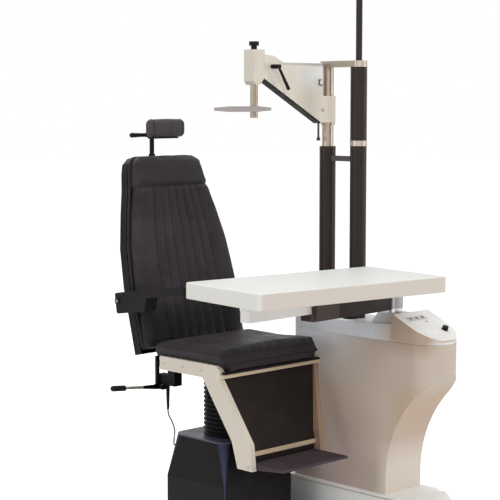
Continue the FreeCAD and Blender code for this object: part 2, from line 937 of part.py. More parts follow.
def make_leg_rest():
    half = v.seat_frame_half
    bar_low = bracket_low + v.crossbar_rise
    top_bar = box("top_crossbar", (-bracket_outer, bracket_outer),
                  (v.bracket_front - v.crossbar_depth, v.bracket_front),
                  (bar_low, bar_low + v.crossbar_height))
    knee = v.leg_knee_inner
    low_bar = box("low_crossbar", (-knee, knee),
                  (v.low_crossbar_front, v.low_crossbar_front + v.low_crossbar_depth),
                  (v.low_crossbar_z, v.low_crossbar_z + v.low_crossbar_height))
    node("legrest_crossbars", top_bar, low_bar)
    low = v.low_crossbar_z + v.low_crossbar_height
    slope = (v.calf_top_front - v.calf_low_front) / (bar_low - low)
    knee_front = v.calf_low_front + slope * (v.leg_knee_z - low)
    side = v.leg_knee_inner - v.foot_side_gap
    top_side = half - v.foot_side_gap
    lower = ((-side, side), (v.calf_low_front, v.calf_low_front + v.calf_thickness))
    middle = ((-side, side), (knee_front, knee_front + v.calf_thickness))
    upper = ((-top_side, top_side), (v.calf_top_front, v.calf_top_front + v.calf_thickness))
    shin = taper("calf_lower", lower, middle, (low, v.leg_knee_z))
    calf = taper("calf_upper", middle, upper, (v.leg_knee_z, bar_low))
    bar_rear = v.low_crossbar_front + v.low_crossbar_depth + v.fit_gap
    skirt = box("calf_skirt", (-side, side), (bar_rear, bar_rear + v.calf_skirt_thickness),
                (low - v.calf_skirt_drop, low + v.calf_skirt_lap))
    node("calf_panel", fuse("calf_panel", shin, calf, skirt))


def make_footplate():
    side = v.leg_knee_inner - v.foot_side_gap
    board = extrusion("foot_board", "YZ", [
        (v.foot_rear, v.foot_top - v.foot_thickness), (v.foot_rear, v.foot_top),
        (v.foot_front, v.foot_top), (v.foot_front, v.foot_top - v.foot_tip_thickness),
    ], (-side, side))
    pin = cylinder("foot_pin", v.foot_pin_radius, (v.foot_pivot_y, v.foot_pivot_z),
                   (-(v.leg_knee_inner + v.bracket_thickness), v.leg_knee_inner + v.bracket_thickness), "x")
    ribs = []
    count = int(float(v.foot_rib_count))
    pitch = (v.foot_rear - v.foot_front) / (count + 1)
    for index in range(count):
        start = v.foot_front + pitch * (index + 1) - v.foot_rib_width / 2
        ribs.append(box(f"foot_rib_{index}", (-side + v.foot_rib_width, side - v.foot_rib_width),
                        (start, start + v.foot_rib_width), (v.foot_top, v.foot_top + v.foot_rib_height)))
    node("footplate", fuse("footplate", board, pin, *ribs))


def line(*places):
    """Straight edges from place to place."""
    return [Part.LineSegment(a, b).toShape() for a, b in zip(places, places[1:])]


def bow(start, middle, end):
    """An arc through three places."""
    return Part.Arc(start, middle, end).toShape()


def ruled(wires):
    return Part.makeLoft([Part.Wire(edges) for edges in wires], True, True)


def seat_section(y, drop, inset):
    """The seat cushion cut across: a narrow under part, drawn-in sides and a crowned top."""
    under = float(v.seat_frame_half - v.seat_step_lap) - inset
    half = float(v.seat_half_width) - inset
    side = half - float(v.seat_side_pull)
    low, step = float(cushion_low), float(bracket_top + v.seat_cushion_lap)
    top = step + float(v.seat_side_height) - drop
    middle = (step + top) / 2
    corners = [(-side, step), (-under, step), (-under, low), (under, low), (under, step), (side, step)]
    edges = line(*(Vector(x, y, z) for x, z in corners))
    edges.append(bow(Vector(side, y, step), Vector(half, y, middle), Vector(side, y, top)))
    crest = Vector(0, y, top + float(v.seat_crown))
    edges.append(bow(Vector(side, y, top), crest, Vector(-side, y, top)))
    edges.append(bow(Vector(-side, y, top), Vector(-half, y, middle), Vector(-side, y, step)))
    return edges


def make_seat_cushion():
    """Sections from front to rear; the front edge rolls over and both ends draw in."""
    front, rear = float(v.seat_front), float(v.seat_rear)
    drop, roll = float(v.seat_front_drop), float(v.seat_front_round)
    pull = float(v.seat_side_pull)
    stations = []
    for share in (0, float(v.roll_first_share), float(v.roll_second_share), 1):
        fall = 1 - math.sin(math.acos(1 - share))
        stations.append((front + share * roll, drop * fall, pull * fall))
    stations.append((rear - roll / 2, 0, 0))
    stations.append((rear, drop / 2, pull))
    node("seat_cushion", shaped("seat_cushion", ruled([seat_section(*s) for s in stations])))


casing_left = v.casing_inset - v.seat_frame_half
casing_right = casing_left + v.casing_width
casing_low = seat_low - v.casing_low_drop
LEVER = Frame(v.lever_x, v.lever_y, v.lever_z, Y_WAY, v.lever_rise_angle)


def make_recline_casing():
    """A low block and a head under the seat plate, an upright bar and the lever's two ears."""
    step = casing_low + v.casing_low_height
    block = box("casing_block", (casing_left, casing_right), (v.casing_front, v.casing_rear),
                (casing_low, step))
    head = box("casing_head", (casing_left, casing_right),
               (v.casing_head_front, v.casing_head_rear), (step, bracket_low))
    bar = box("casing_bar", (casing_left - v.bar_width, casing_left),
              (v.bar_front, v.bar_front + v.bar_depth), (casing_low, bracket_low + v.bar_top_rise))
    gap = v.lever_hub_half + v.fit_gap
    ear_end = casing_left + v.lever_ear_thickness
    ears = []
    for name, near in (("front", v.lever_y - gap - v.lever_ear_thickness), ("rear", v.lever_y + gap)):
        span = (near, near + v.lever_ear_thickness)
        ears.append(box(f"lever_ear_{name}", (v.lever_x, ear_end), span,
                        (v.lever_z - v.lever_hub_radius, v.lever_z + v.lever_hub_radius)))
        ears.append(cylinder(f"lever_ear_end_{name}", v.lever_hub_radius, (v.lever_x, v.lever_z),
                             span, "y"))
    pin = cylinder("lever_pin", v.lever_pin_radius, (v.lever_x, v.lever_z),
                   (v.lever_y - gap - v.lever_ear_thickness, v.lever_y + gap), "y")
    node("recline_casing", fuse("recline_casing", block, head, bar, pin, *ears))


def make_recline_lever():
    """A root in the casing's ears, a bright rod and a grip, all pointing to the patient's right."""
    centre = CENTRE
    half = v.lever_hub_half
    hub = cylinder("lever_hub", v.lever_hub_radius, centre, (-half, half), "y")
    root_end = -v.lever_root_length
    rod_end = root_end - v.lever_rod_length
    root = cone("lever_root", v.lever_root_tip, v.lever_root_radius, centre, (root_end, ZERO), "x")
    bore = cylinder("lever_bore", v.lever_pin_radius + v.pin_gap, centre,
                    (-half - v.overrun, half + v.overrun), "y")
    hub_end = cut("lever_hub_end", fuse("lever_hub_root", hub, root), bore)
    inner_end = rod_end - v.lever_grip_bore_depth
    rod = cylinder("lever_rod", v.lever_rod_radius, centre, (inner_end, root_end), "x")
    node("recline_lever_rod", fuse("lever_rod_whole", hub_end, rod), frame=LEVER)
    grip_end = rod_end - v.lever_grip_length + v.lever_grip_radius
    barrel = cylinder("lever_grip_barrel", v.lever_grip_radius, centre, (grip_end, rod_end), "x")
    tip = ball("lever_grip_tip", v.lever_grip_radius, grip_end, ZERO, ZERO)
    socket = cylinder("lever_grip_socket", v.lever_rod_radius, centre,
                      (inner_end, rod_end + v.overrun), "x")
    grip = cut("lever_grip_whole", fuse("lever_grip_blank", barrel, tip), socket)
    node("recline_lever_grip", grip, frame=LEVER)


CABLE_ROUTE = [
    (-204, 112, 431.9), (-204, 112, 410), (-182, 115, 384), (-152, 132, 340),
    (-122, 172, 302), (-100, 200, 262), (-100, 168.9, 262),
]


def make_cable():
    """The gland under the casing and the cable from it to the socket on the hood."""
    node("cable_gland", cone("cable_gland", v.gland_tip_radius, v.gland_radius,
                             (v.gland_x, v.gland_y), (casing_low - v.gland_length, casing_low)))
    node("lift_cable", shaped("lift_cable", tangent_tube(CABLE_ROUTE, float(v.cable_radius))))


def tangent_tube(route, radius):
    """A tube of straight runs joined by tangent arcs, each as large as its two runs allow."""
    places = [Vector(*place) for place in route]
    edges, last = [], places[0]
    for before, corner, after in zip(places, places[1:], places[2:]):
        back, on = (before - corner), (after - corner)
        reach = float(v.arc_reach_share) * min(back.Length, on.Length)
        half_turn = (math.pi - back.getAngle(on)) / 2
        bend = reach / math.tan(half_turn)
        print("cable bend radius", round(bend, 1))
        enter, leave = corner + back.normalize() * reach, corner + on.normalize() * reach
        bisector = (back + on).normalize()
        middle = corner + bisector * (bend / math.cos(half_turn) - bend)
        edges += line(last, enter)
        edges.append(bow(enter, middle, leave))
        last = leave
    edges += line(last, places[-1])
    spine = Part.Wire(edges)
    heading = (places[1] - places[0]).normalize()
    ring = Part.Wire([Part.Circle(places[0], heading, radius).toShape()])
    solid = spine.makePipeShell([ring], True, False)
    print("cable volume share", round(solid.Volume / (math.pi * radius ** 2 * spine.Length), 4))
    return solid


def back_section(z, half, pull, crowned):
    """The backrest cushion cut across at a height: flat behind, drawn-in sides, a padded front."""
    face = float(v.back_shell_face)
    crown = float(v.channel_crown)
    valley = float(v.back_front) + crown + pull
    side = half - float(v.back_side_pull)
    middle = (face + valley) / 2
    edges = line(Vector(-side, face, z), Vector(side, face, z))
    edges.append(bow(Vector(side, face, z), Vector(half, middle, z), Vector(side, valley, z)))
    if crowned:
        inner = half * (1 - 2 * float(v.bolster_share))
        count = int(float(v.channel_count))
        stops = [side] + [inner - 2 * inner * step / count for step in range(count + 1)] + [-side]
        crowns = [float(v.bolster_crown)] + [crown] * count + [float(v.bolster_crown)]
    else:
        stops, crowns = [side, -side], [float(v.head_crown)]
    for start, end, rise in zip(stops, stops[1:], crowns):
        middle_place = Vector((start + end) / 2, valley - rise, z)
        edges.append(bow(Vector(start, valley, z), middle_place, Vector(end, valley, z)))
    edges.append(bow(Vector(-side, valley, z), Vector(-half, middle, z), Vector(-side, face, z)))
    return edges


BACK_PROFILE = [
    (v.back_low, v.back_low_half), (v.back_arm_z, v.back_arm_half), (v.back_mid_z, v.back_mid_half),
    (v.back_rib_z, v.back_rib_half), (v.back_high_z, v.back_high_half),
    (v.back_seam, v.back_seam_half), (v.back_brow_z, v.back_brow_half),
    (v.back_crest_z, v.back_crest_half), (v.back_top, v.back_top_half),
]


def make_back_cushion():
    """A channelled panel between plain bolsters, and a plain head panel above the seam."""
    pull, edge = float(v.back_side_pull), float(v.back_edge_round)
    stations = [(float(z), float(half)) for z, half in BACK_PROFILE]
    low, seam, top = stations[0][0], float(v.back_seam), stations[-1][0]
    panel = [back_section(low, stations[0][1] - pull, 2 * pull, True)]
    panel.append(back_section(low + edge, stations[0][1], 0, True))
    for z, half in stations[1:5]:
        panel.append(back_section(z, half, 0, True))
    seam_half = float(v.back_seam_half)
    panel.append(back_section(seam - edge, seam_half, 0, True))
    panel.append(back_section(seam, seam_half - pull / 2, pull, True))
    head = [back_section(seam, seam_half - pull / 2, pull, False)]
    head.append(back_section(seam + edge, seam_half, 0, False))
    for z, half in stations[6:8]:
        head.append(back_section(z, half, 0, False))
    head.append(back_section(top, stations[8][1], 2 * pull, False))
    whole = ruled(panel).fuse(ruled(head))
    node("back_cushion", shaped("back_padding", whole), frame=BACK)


def back_outline(inset):
    """The backrest seen from the front, with both sides drawn in by an inset."""
    right = [(half - inset, z) for z, half in BACK_PROFILE]
    right[0] = (right[0][0], right[0][1] + inset - v.shell_drop)
    right[-1] = (right[-1][0], right[-1][1] - inset)
    left = [(-x, z) for x, z in reversed(right)]
    return right + left


def make_back_shell():
    face, rear = v.back_shell_face, v.back_rear
    outer = extrusion("shell_outer", "XZ", back_outline(v.shell_inset), (face, rear))
    inner = extrusion("shell_inner", "XZ", back_outline(v.shell_inset + v.shell_wall),
                      (face - v.overrun, rear - v.shell_wall))
    slot_x = (v.strap_inner - v.fit_gap, v.strap_outer + v.fit_gap)
    slot_y = (face - v.overrun, v.strap_rear + v.fit_gap)
    shell_low = v.back_low - v.shell_drop
    slot_z = (shell_low, shell_low + v.shell_inset + v.shell_wall + v.overrun)
    slots = both_sides("shell_slot", lambda name: box(name, slot_x, slot_y, slot_z))
    reach = v.back_arm_half + v.overrun
    pin_hole = cylinder("shell_pin_hole", v.arm_pin_radius + v.fit_gap,
                        (v.arm_pin_across, v.arm_pin_up), (-reach, reach), "x")
    node("back_shell", cut("back_shell_tray", outer, inner, pin_hole, *slots), frame=BACK)


def make_back_frame():
    """Two straps from the hinge eyes up inside the shell, a cross bar and the armrests' pin."""
    eye = v.eye_radius
    straps = both_sides("back_strap", lambda name: extrusion(name, "YZ", [
        (-eye, -eye / 2), (v.strap_rear, eye), (v.strap_rear, v.strap_top),
        (v.strap_front, v.strap_top), (v.strap_front, v.back_low - v.tiny_round), (-eye, eye / 2),
    ], (v.strap_inner, v.strap_outer)))
    eyes = both_sides("back_eye", lambda name: cylinder(
        name, eye, CENTRE, (v.strap_inner, v.strap_outer), "x"))
    bar = box("back_bar", (-v.strap_outer, v.strap_outer), (v.strap_front, v.strap_rear),
              (v.strap_top, v.strap_top + v.strap_outer - v.strap_inner))
    hole = cylinder("back_eye_hole", v.hinge_pin_radius + v.pin_gap, CENTRE,
                    (-v.strap_outer - v.overrun, v.strap_outer + v.overrun), "x")
    frame = cut("back_straps", fuse("back_frame_blank", bar, *straps, *eyes), hole)
    pin_end = v.arm_inner + v.arm_width + v.fit_gap
    centre = (v.arm_pin_across, v.arm_pin_up)
    pin = cylinder("arm_pin", v.arm_pin_radius, centre, (-pin_end, pin_end), "x")
    caps = both_sides("arm_pin_cap", lambda name: cylinder(
        name, v.arm_cap_radius, centre, (pin_end, pin_end + v.arm_cap_thickness), "x"))
    node("back_frame", fuse("back_frame_whole", frame, pin, *caps), frame=BACK)
    pin_half = v.ear_x + v.ear_thickness
    node("back_hinge_pin", cylinder("back_hinge_pin", v.hinge_pin_radius, (v.pivot_y, v.pivot_z),
                                    (-pin_half, pin_half), "x"))


def make_armrest():
    """A pad that rises to the front on a deep rear block, turning on the back frame's pin."""
    profile = extrusion("armrest_profile", "YZ", [
        (v.arm_front, v.arm_top - v.arm_pad_thickness),
        (v.arm_block_front - v.arm_block_round, v.arm_top - v.arm_pad_thickness),
        (v.arm_block_front, v.arm_block_low), (v.arm_rear, v.arm_block_low),
        (v.arm_rear, v.arm_top), (v.arm_front, v.arm_top),
    ], (v.arm_inner, v.arm_inner + v.arm_width))
    inner_corner = float(v.arm_block_front - v.arm_block_round)
    round_edges(profile, v.arm_pad_round, lambda edge: is_along(edge, X_WAY)
                and not math.isclose(edge.CenterOfMass.y, inner_corner, rel_tol=SAME))
    hole = cylinder("armrest_hole", v.arm_pin_radius + v.pin_gap, CENTRE,
                    (v.arm_inner - v.overrun, v.arm_inner + v.arm_width + v.overrun), "x")
    left = cut("armrest_left", profile, hole)
    node("left_armrest", left, frame=ARM)
    node("right_armrest", mirrored("armrest_right", left), frame=ARM)


def make_headrest_guide():
    """A block on the shell's rear face with the bore that the post slides in."""
    lean, rise = sine(v.recline_angle), cosine(v.recline_angle)

    def rear_face(z):
        """Where the shell's rear face stands at a height."""
        return v.pivot_y + v.back_rear / rise + (z - v.pivot_z) * lean / rise

    crest = v.pivot_z + v.back_top * rise - v.back_rear * lean - v.shell_inset
    front = v.post_y - v.guide_half
    blank = extrusion("guide_block", "YZ", [
        (rear_face(v.guide_low), v.guide_low), (v.guide_rear, v.guide_low),
        (v.guide_rear, v.guide_high), (front, v.guide_high), (rear_face(crest), crest),
    ], (-v.guide_half, v.guide_half))
    top = v.guide_high + v.collar_height
    collar = cylinder("guide_collar", v.collar_radius, (0, v.post_y), (v.guide_high, top))
    hole = cylinder("guide_hole", v.post_radius + v.pin_gap, (0, v.post_y),
                    (v.guide_low - v.overrun, top + v.overrun))
    node("headrest_guide", cut("headrest_guide", fuse("guide_blank", blank, collar), hole))


def make_headrest_post():
    """The sliding post with a forked head that carries the tilt pin."""
    post = cylinder("post_rod", v.post_radius, (0, v.post_y), (v.post_low, v.post_top))
    half = v.yoke_width / 2
    rear = v.post_y + v.collar_radius
    front = v.yoke_y - v.yoke_ear
    base = box("yoke_base", (-half, half), (front, rear), (v.post_top, v.post_top + v.yoke_ear))
    ear_radius = v.yoke_y - front
    ears = []
    for side, span in (("right", (-half, v.yoke_ear - half)), ("left", (half - v.yoke_ear, half))):
        ears.append(box(f"yoke_ear_{side}", span, (front, v.yoke_y + v.yoke_ear),
                        (v.post_top, v.yoke_z)))
        ears.append(cylinder(f"yoke_end_{side}", ear_radius, (v.yoke_y, v.yoke_z), span, "x"))
    pin = cylinder("yoke_pin", v.yoke_pin_radius, (v.yoke_y, v.yoke_z), (-half, half), "x")
    node("headrest_post", fuse("headrest_post", post, base, pin, *ears))


def rounded_roll(x, share):
    """The headrest roll cut across its length, shrunk towards its own middle by a share."""
    half_y = float(v.headrest_rear - v.headrest_front) / 2 * share
    half_z = float(v.headrest_top - v.headrest_low) / 2 * share
    y, z = float(v.headrest_rear + v.headrest_front) / 2, float(v.headrest_top + v.headrest_low) / 2
    r = float(v.headrest_corner) * share
    k = r * (1 - math.sqrt(0.5))
    edges = []
    for turn, (sy, sz) in enumerate(((1, -1), (1, 1), (-1, 1), (-1, -1))):
        outer, inner = Vector(x, y + sy * half_y, z + sz * (half_z - r)), Vector(
            x, y + sy * (half_y - r), z + sz * half_z)
        middle = Vector(x, y + sy * (half_y - k), z + sz * (half_z - k))
        start, end = (inner, outer) if turn % 2 == 0 else (outer, inner)
        if edges:
            edges += line(last, start)
        else:
            first = start
        edges.append(bow(start, middle, end))
        last = end
    return edges + line(last, first)


def make_headrest():
    half, draw = float(v.headrest_half), float(v.headrest_end_share)
    roll = float(v.headrest_corner) / 2
    sections = [rounded_roll(-half, draw), rounded_roll(roll - half, 1),
                rounded_roll(half - roll, 1), rounded_roll(half, draw)]
    node("headrest_cushion", shaped("headrest_cushion", ruled(sections)))
    side = v.headrest_half - v.headrest_corner
    board = box("head_board", (-side, side),
                (v.headrest_rear, v.headrest_rear + v.headrest_board),
                (v.headrest_low - v.headrest_board, v.headrest_top - v.headrest_corner))
    shelf = box("head_shelf", (-side, side), (v.headrest_front + v.headrest_corner, v.headrest_rear),
                (v.headrest_low - v.headrest_board, v.headrest_low))
    half_tongue = v.yoke_width / 2 - v.yoke_ear - v.fit_gap
    ear_radius = v.yoke_ear
    tongue = box("head_tongue", (-half_tongue, half_tongue), (v.headrest_rear, v.yoke_y),
                 (v.yoke_z - ear_radius, v.yoke_z + ear_radius))
    end = cylinder("head_tongue_end", ear_radius, (v.yoke_y, v.yoke_z), (-half_tongue, half_tongue), "x")
    hole = cylinder("head_tongue_hole", v.yoke_pin_radius + v.pin_gap, (v.yoke_y, v.yoke_z),
                    (-half_tongue - v.overrun, half_tongue + v.overrun), "x")
    blank = fuse("head_board_blank", board, shelf, tongue, end)
    node("headrest_board", cut("headrest_board", blank, hole))


def make_headrest_lever():
    """A clamp handle on the fork's rear face that points to the patient's right."""
    y, z = v.post_y + v.collar_radius, v.post_top + v.yoke_ear / 2
    near, far = y + v.fit_gap, y + v.fit_gap + v.head_lever_grip * 2
    hub = cylinder("head_lever_hub", v.head_lever_grip, (ZERO, z), (near, far), "y")
    middle = (near + far) / 2
    reach = v.head_lever_length
    wide, narrow = v.head_lever_grip, v.head_lever_rod
    grip_near = v.head_lever_grip_length / 2 - reach
    grip_far = grip_near - v.head_lever_grip_length
    handle = turned("head_lever_handle", [
        (ZERO, ZERO), (ZERO, narrow), (grip_near, narrow), (grip_far, wide, wide),
        (grip_far - wide, ZERO),
    ], (ZERO, middle, z))
    node("headrest_lever", fuse("headrest_lever", hub, handle))


def console_plan(inset):
    """The console from above: straight sides, a half-round nose and two small back corners."""
    near, far = v.console_near + inset, console_far - inset
    middle, r = (near + far) / 2, console_nose - inset
    nose, back, k = v.console_nose_centre, v.console_back - inset, v.console_back_corner - inset
    return [
        (near, back - k), (near, nose, r), (middle, nose - r, r), (far, nose),
        (far, back - k, k), (far - k, back), (near + k, back, k),
    ]


def console_profile(name, inset, low, high):
    """The console from the side: an upright foot, a quarter sweep forward and a rising nose."""
    angle = v.console_sweep_angle
    waist = v.console_waist_front + inset
    centre = v.console_waist_front - v.console_sweep_radius
    radius = v.console_sweep_radius + inset
    sweep_y, sweep_z = centre + radius * cosine(angle), v.console_waist_z + radius * sine(angle)
    front = v.console_nose_centre - console_nose - v.overrun
    nose_z = sweep_z + (sweep_y - front) * cosine(angle) / sine(angle)
    back = v.console_back + v.overrun
    return extrusion(name, "YZ", [
        (waist, low), (back, low), (back, high), (front, high), (front, nose_z),
        (sweep_y, sweep_z, -radius), (waist, v.console_waist_z),
    ], (v.console_near - v.overrun, console_far + v.overrun))


def make_console_body():
    low, seam = plinth_top, v.console_seam_z
    plan = extrusion("console_plan", "XY", console_plan(ZERO), (low, seam))
    outer = common("console_outer", plan, console_profile("console_side", ZERO, low, seam))
    hollow_low, hollow_high = low - v.overrun, seam + v.overrun
    core = extrusion("console_core_plan", "XY", console_plan(v.console_wall), (hollow_low, hollow_high))
    side = console_profile("console_core_side", v.console_wall, hollow_low, hollow_high)
    node("console_body", cut("console_body", outer, common("console_core", core, side)))
    near, far = v.console_near - v.plinth_margin, console_far + v.plinth_margin
    r = v.plinth_corner
    corners = [
        (near, v.plinth_rear), (near, v.plinth_front + v.console_back_corner, v.console_back_corner),
        (near + v.console_back_corner, v.plinth_front), (far - r, v.plinth_front, r),
        (far, v.plinth_front + r), (far, v.plinth_rear),
    ]
    node("console_plinth", extrusion("console_plinth", "XY", corners, (floor_top, plinth_top)))
    side_x = v.pole_x - v.power_width / 2
    rear = v.lamp_pole_y - v.pole_radius - v.service_gap
    node("console_power_unit", box("console_power_unit", (side_x, side_x + v.power_width),
                                   (rear - v.power_depth / 2, rear),
                                   (plinth_top, plinth_top + v.power_height)))


def make_top_cover():
    """The cover above the seam, with the hump that carries the table post."""
    seam = v.console_seam_z
    lip = extrusion("cover_lip", "XY", console_plan(v.cover_gap), (seam, seam + v.cover_gap))
    plan = extrusion("cover_plan", "XY", console_plan(ZERO), (seam + v.cover_gap, v.turret_top))
    front = v.console_nose_centre - console_nose - v.overrun
    back = v.console_back + v.overrun
    side = extrusion("cover_side", "YZ", [
        (front, seam), (back, seam), (back, seam + v.cover_back_height),
        (v.cover_mid_y, seam + v.cover_mid_height), (v.cover_step_y, seam + v.cover_step_height),
        (v.cover_step_y, seam + v.cover_seat_height), (front, seam + v.cover_seat_height),
    ], (v.console_near - v.overrun, console_far + v.overrun))
    inset = v.console_wall * 2
    hump = taper("cover_hump", ((v.turret_left, v.turret_right), (v.turret_front, v.turret_back)),
                 ((v.turret_left + inset, v.turret_right - inset), (v.turret_front, v.turret_back_top)),
                 (seam + v.cover_seat_height, v.turret_top))
    blank = fuse("cover_blank", lip, common("cover_hood", plan, side), hump)
    hollow = extrusion("cover_hollow", "XY", console_plan(v.cover_gap + v.console_wall),
                       (seam - v.overrun, seam + v.cover_back_height - v.console_wall))
    high = v.turret_top + v.overrun
    holes = [
        cylinder("cover_arm_hole", pole_bore, (v.pole_x, v.arm_pole_y), (seam, high)),
        cylinder("cover_lamp_hole", pole_bore, (v.pole_x, v.lamp_pole_y), (seam, high)),
        cylinder("cover_post_hole", v.table_post_radius, (v.post_x, v.table_post_y),
                 (seam + v.cover_seat_height, high)),
    ]
    node("console_top_cover", cut("console_top_cover", blank, hollow, *holes))


PANEL_DROP = v.panel_peak_z - v.panel_low_z
PANEL_RUN = v.panel_peak_y - v.panel_flat_y
PANEL_SLOPE = Size(
    math.degrees(math.atan2(float(PANEL_DROP), float(PANEL_RUN))),
    f"atan({PANEL_DROP.formula} / {PANEL_RUN.formula})",
)
PANEL = Frame(0, v.panel_peak_y, v.panel_peak_z, X_WAY, PANEL_SLOPE)
PANEL_LENGTH = PANEL_RUN / cosine(PANEL_SLOPE)


def panel_solid(name, inset):
    """The wedge that carries the controls, following the console's nose."""
    seat = v.console_seam_z + v.cover_seat_height
    low = seat - inset
    front = v.console_nose_centre - console_nose - v.overrun
    step = v.cover_step_y - inset
    side = extrusion(name + "_side", "YZ", [
        (front, low), (step, low), (step, seat + v.cover_step_height - v.cover_seat_height),
        (v.panel_peak_y - inset / 2, v.panel_peak_z - inset * 2),
        (v.panel_flat_y + inset, v.panel_low_z - inset / 2), (front, v.panel_low_z - inset / 2),
    ], (v.console_near - v.overrun, console_far + v.overrun))
    plan = extrusion(name + "_plan", "XY", console_plan(inset), (low, v.panel_peak_z + v.overrun))
    return common(name, side, plan)


def panel_controls():
    """Each control's name, its x, its place down the slope and its radius."""
    row = -PANEL_LENGTH * v.button_row_share
    controls = [(f"control_button_{n + 1}", v.button_row_x + v.button_pitch * n, row, v.button_radius)
                for n in range(3)]
    controls.append(("control_knob", v.knob_x, -PANEL_LENGTH * v.knob_share, v.knob_shaft_radius))
    return controls


def make_panel():
    """The panel with a bore for each control, the sprung buttons and the turning knob."""
    solid = cut("panel_shell", panel_solid("panel_outer", ZERO),
                panel_solid("panel_core", v.panel_wall))
    bores = doc.addObject("Part::Compound", "panel_bores")
    bores.Placement = Placement(Vector(), Rotation(X_WAY, 1))
    links = []
    for name, x, place, radius in panel_controls():
        links.append(cylinder(name + "_bore", radius + v.fit_gap, (x, place),
                              (-v.button_length - v.knob_shaft_length, v.button_length)))
    bores.Links = links
    bind(bores, "Placement.Rotation.Angle", PANEL_SLOPE)
    move(bores, *PANEL.place)
    node("control_panel", cut("control_panel", solid, bores))
    for name, x, place, radius in panel_controls()[:3]:
        stem = cylinder(name + "_stem", radius, (x, place),
                        (v.button_stand - v.button_length, v.button_stand))
        node(name, stem, frame=PANEL)
    name, x, place, radius = panel_controls()[3]
    shaft = cylinder("knob_shaft", radius, (x, place), (-v.knob_shaft_length, v.fit_gap))
    dome = cylinder("knob_body", v.knob_radius, (x, place), (v.fit_gap, v.knob_height))
    node(name, fuse("knob_whole", shaft, dome), frame=PANEL)


def make_poles():
    """The arm pole in two diameters, the lamp column and the plate and link between them."""
    arm, lamp = (v.pole_x, v.arm_pole_y), (v.pole_x, v.lamp_pole_y)
    inside = v.pole_radius - v.pole_wall
    thick = tube("arm_pole_tube", v.pole_radius, inside, arm, (plinth_top, v.arm_pole_break))
    collar = tube("arm_pole_collar", v.pole_radius, v.chrome_pole_radius, arm,
                  (v.arm_pole_break - v.pole_cap_height, v.arm_pole_break))
    node("arm_pole_lower", fuse("arm_pole_lower", thick, collar))
    node("arm_pole_upper", tube("arm_pole_upper", v.chrome_pole_radius,
                                v.chrome_pole_radius - v.chrome_pole_wall, arm,
                                (v.arm_pole_break - v.chrome_pole_sink, v.bracket_plate_low)))
    node("lamp_column", tube("lamp_column", v.pole_radius, inside, lamp,
                             (plinth_top, v.bracket_plate_low)))
    node("lamp_column_ring", tube("lamp_column_ring", v.pole_radius + v.ring_stand, v.pole_radius,
                                  lamp, (v.ring_low, v.ring_low + v.ring_height)))
    span = (v.link_low, v.link_low + v.link_height)
    half = v.link_width / 2
    bridge = box("link_bridge", (v.pole_x - half, v.pole_x + half),
                 (v.lamp_pole_y + inside, v.arm_pole_y - inside), span)
    reach = (span[0] - v.overrun, span[1] + v.overrun)
    node("pole_link", cut("pole_link", bridge,
                          cylinder("link_arm_seat", v.pole_radius, arm, reach),
                          cylinder("link_lamp_seat", v.pole_radius, lamp, reach)))
    x, r, low = v.pole_x, v.pole_radius, v.bracket_plate_low
    top = low + v.bracket_plate_thickness
    plate = extrusion("bracket_plate", "XY", [
        (x - r, v.arm_pole_y), (x - r, v.lamp_pole_y, r), (x, v.lamp_pole_y - r, r),
        (x + r, v.lamp_pole_y), (x + r, v.arm_pole_y, r), (x, v.arm_pole_y + r, r),
    ], (low, top))
    bore = cylinder("bracket_lamp_bore", v.lamp_spigot_radius, lamp,
                    (low - v.overrun, top + v.overrun))
    node("pole_top_bracket", cut("pole_top_bracket", plate, bore))
    spigot = cylinder("lamp_spigot", v.lamp_spigot_radius, lamp, (top - v.lamp_pole_sink, top))
    rod = cylinder("lamp_rod", v.lamp_pole_radius, lamp, (top, top + v.lamp_pole_length))
    node("lamp_pole", fuse("lamp_pole", spigot, rod))


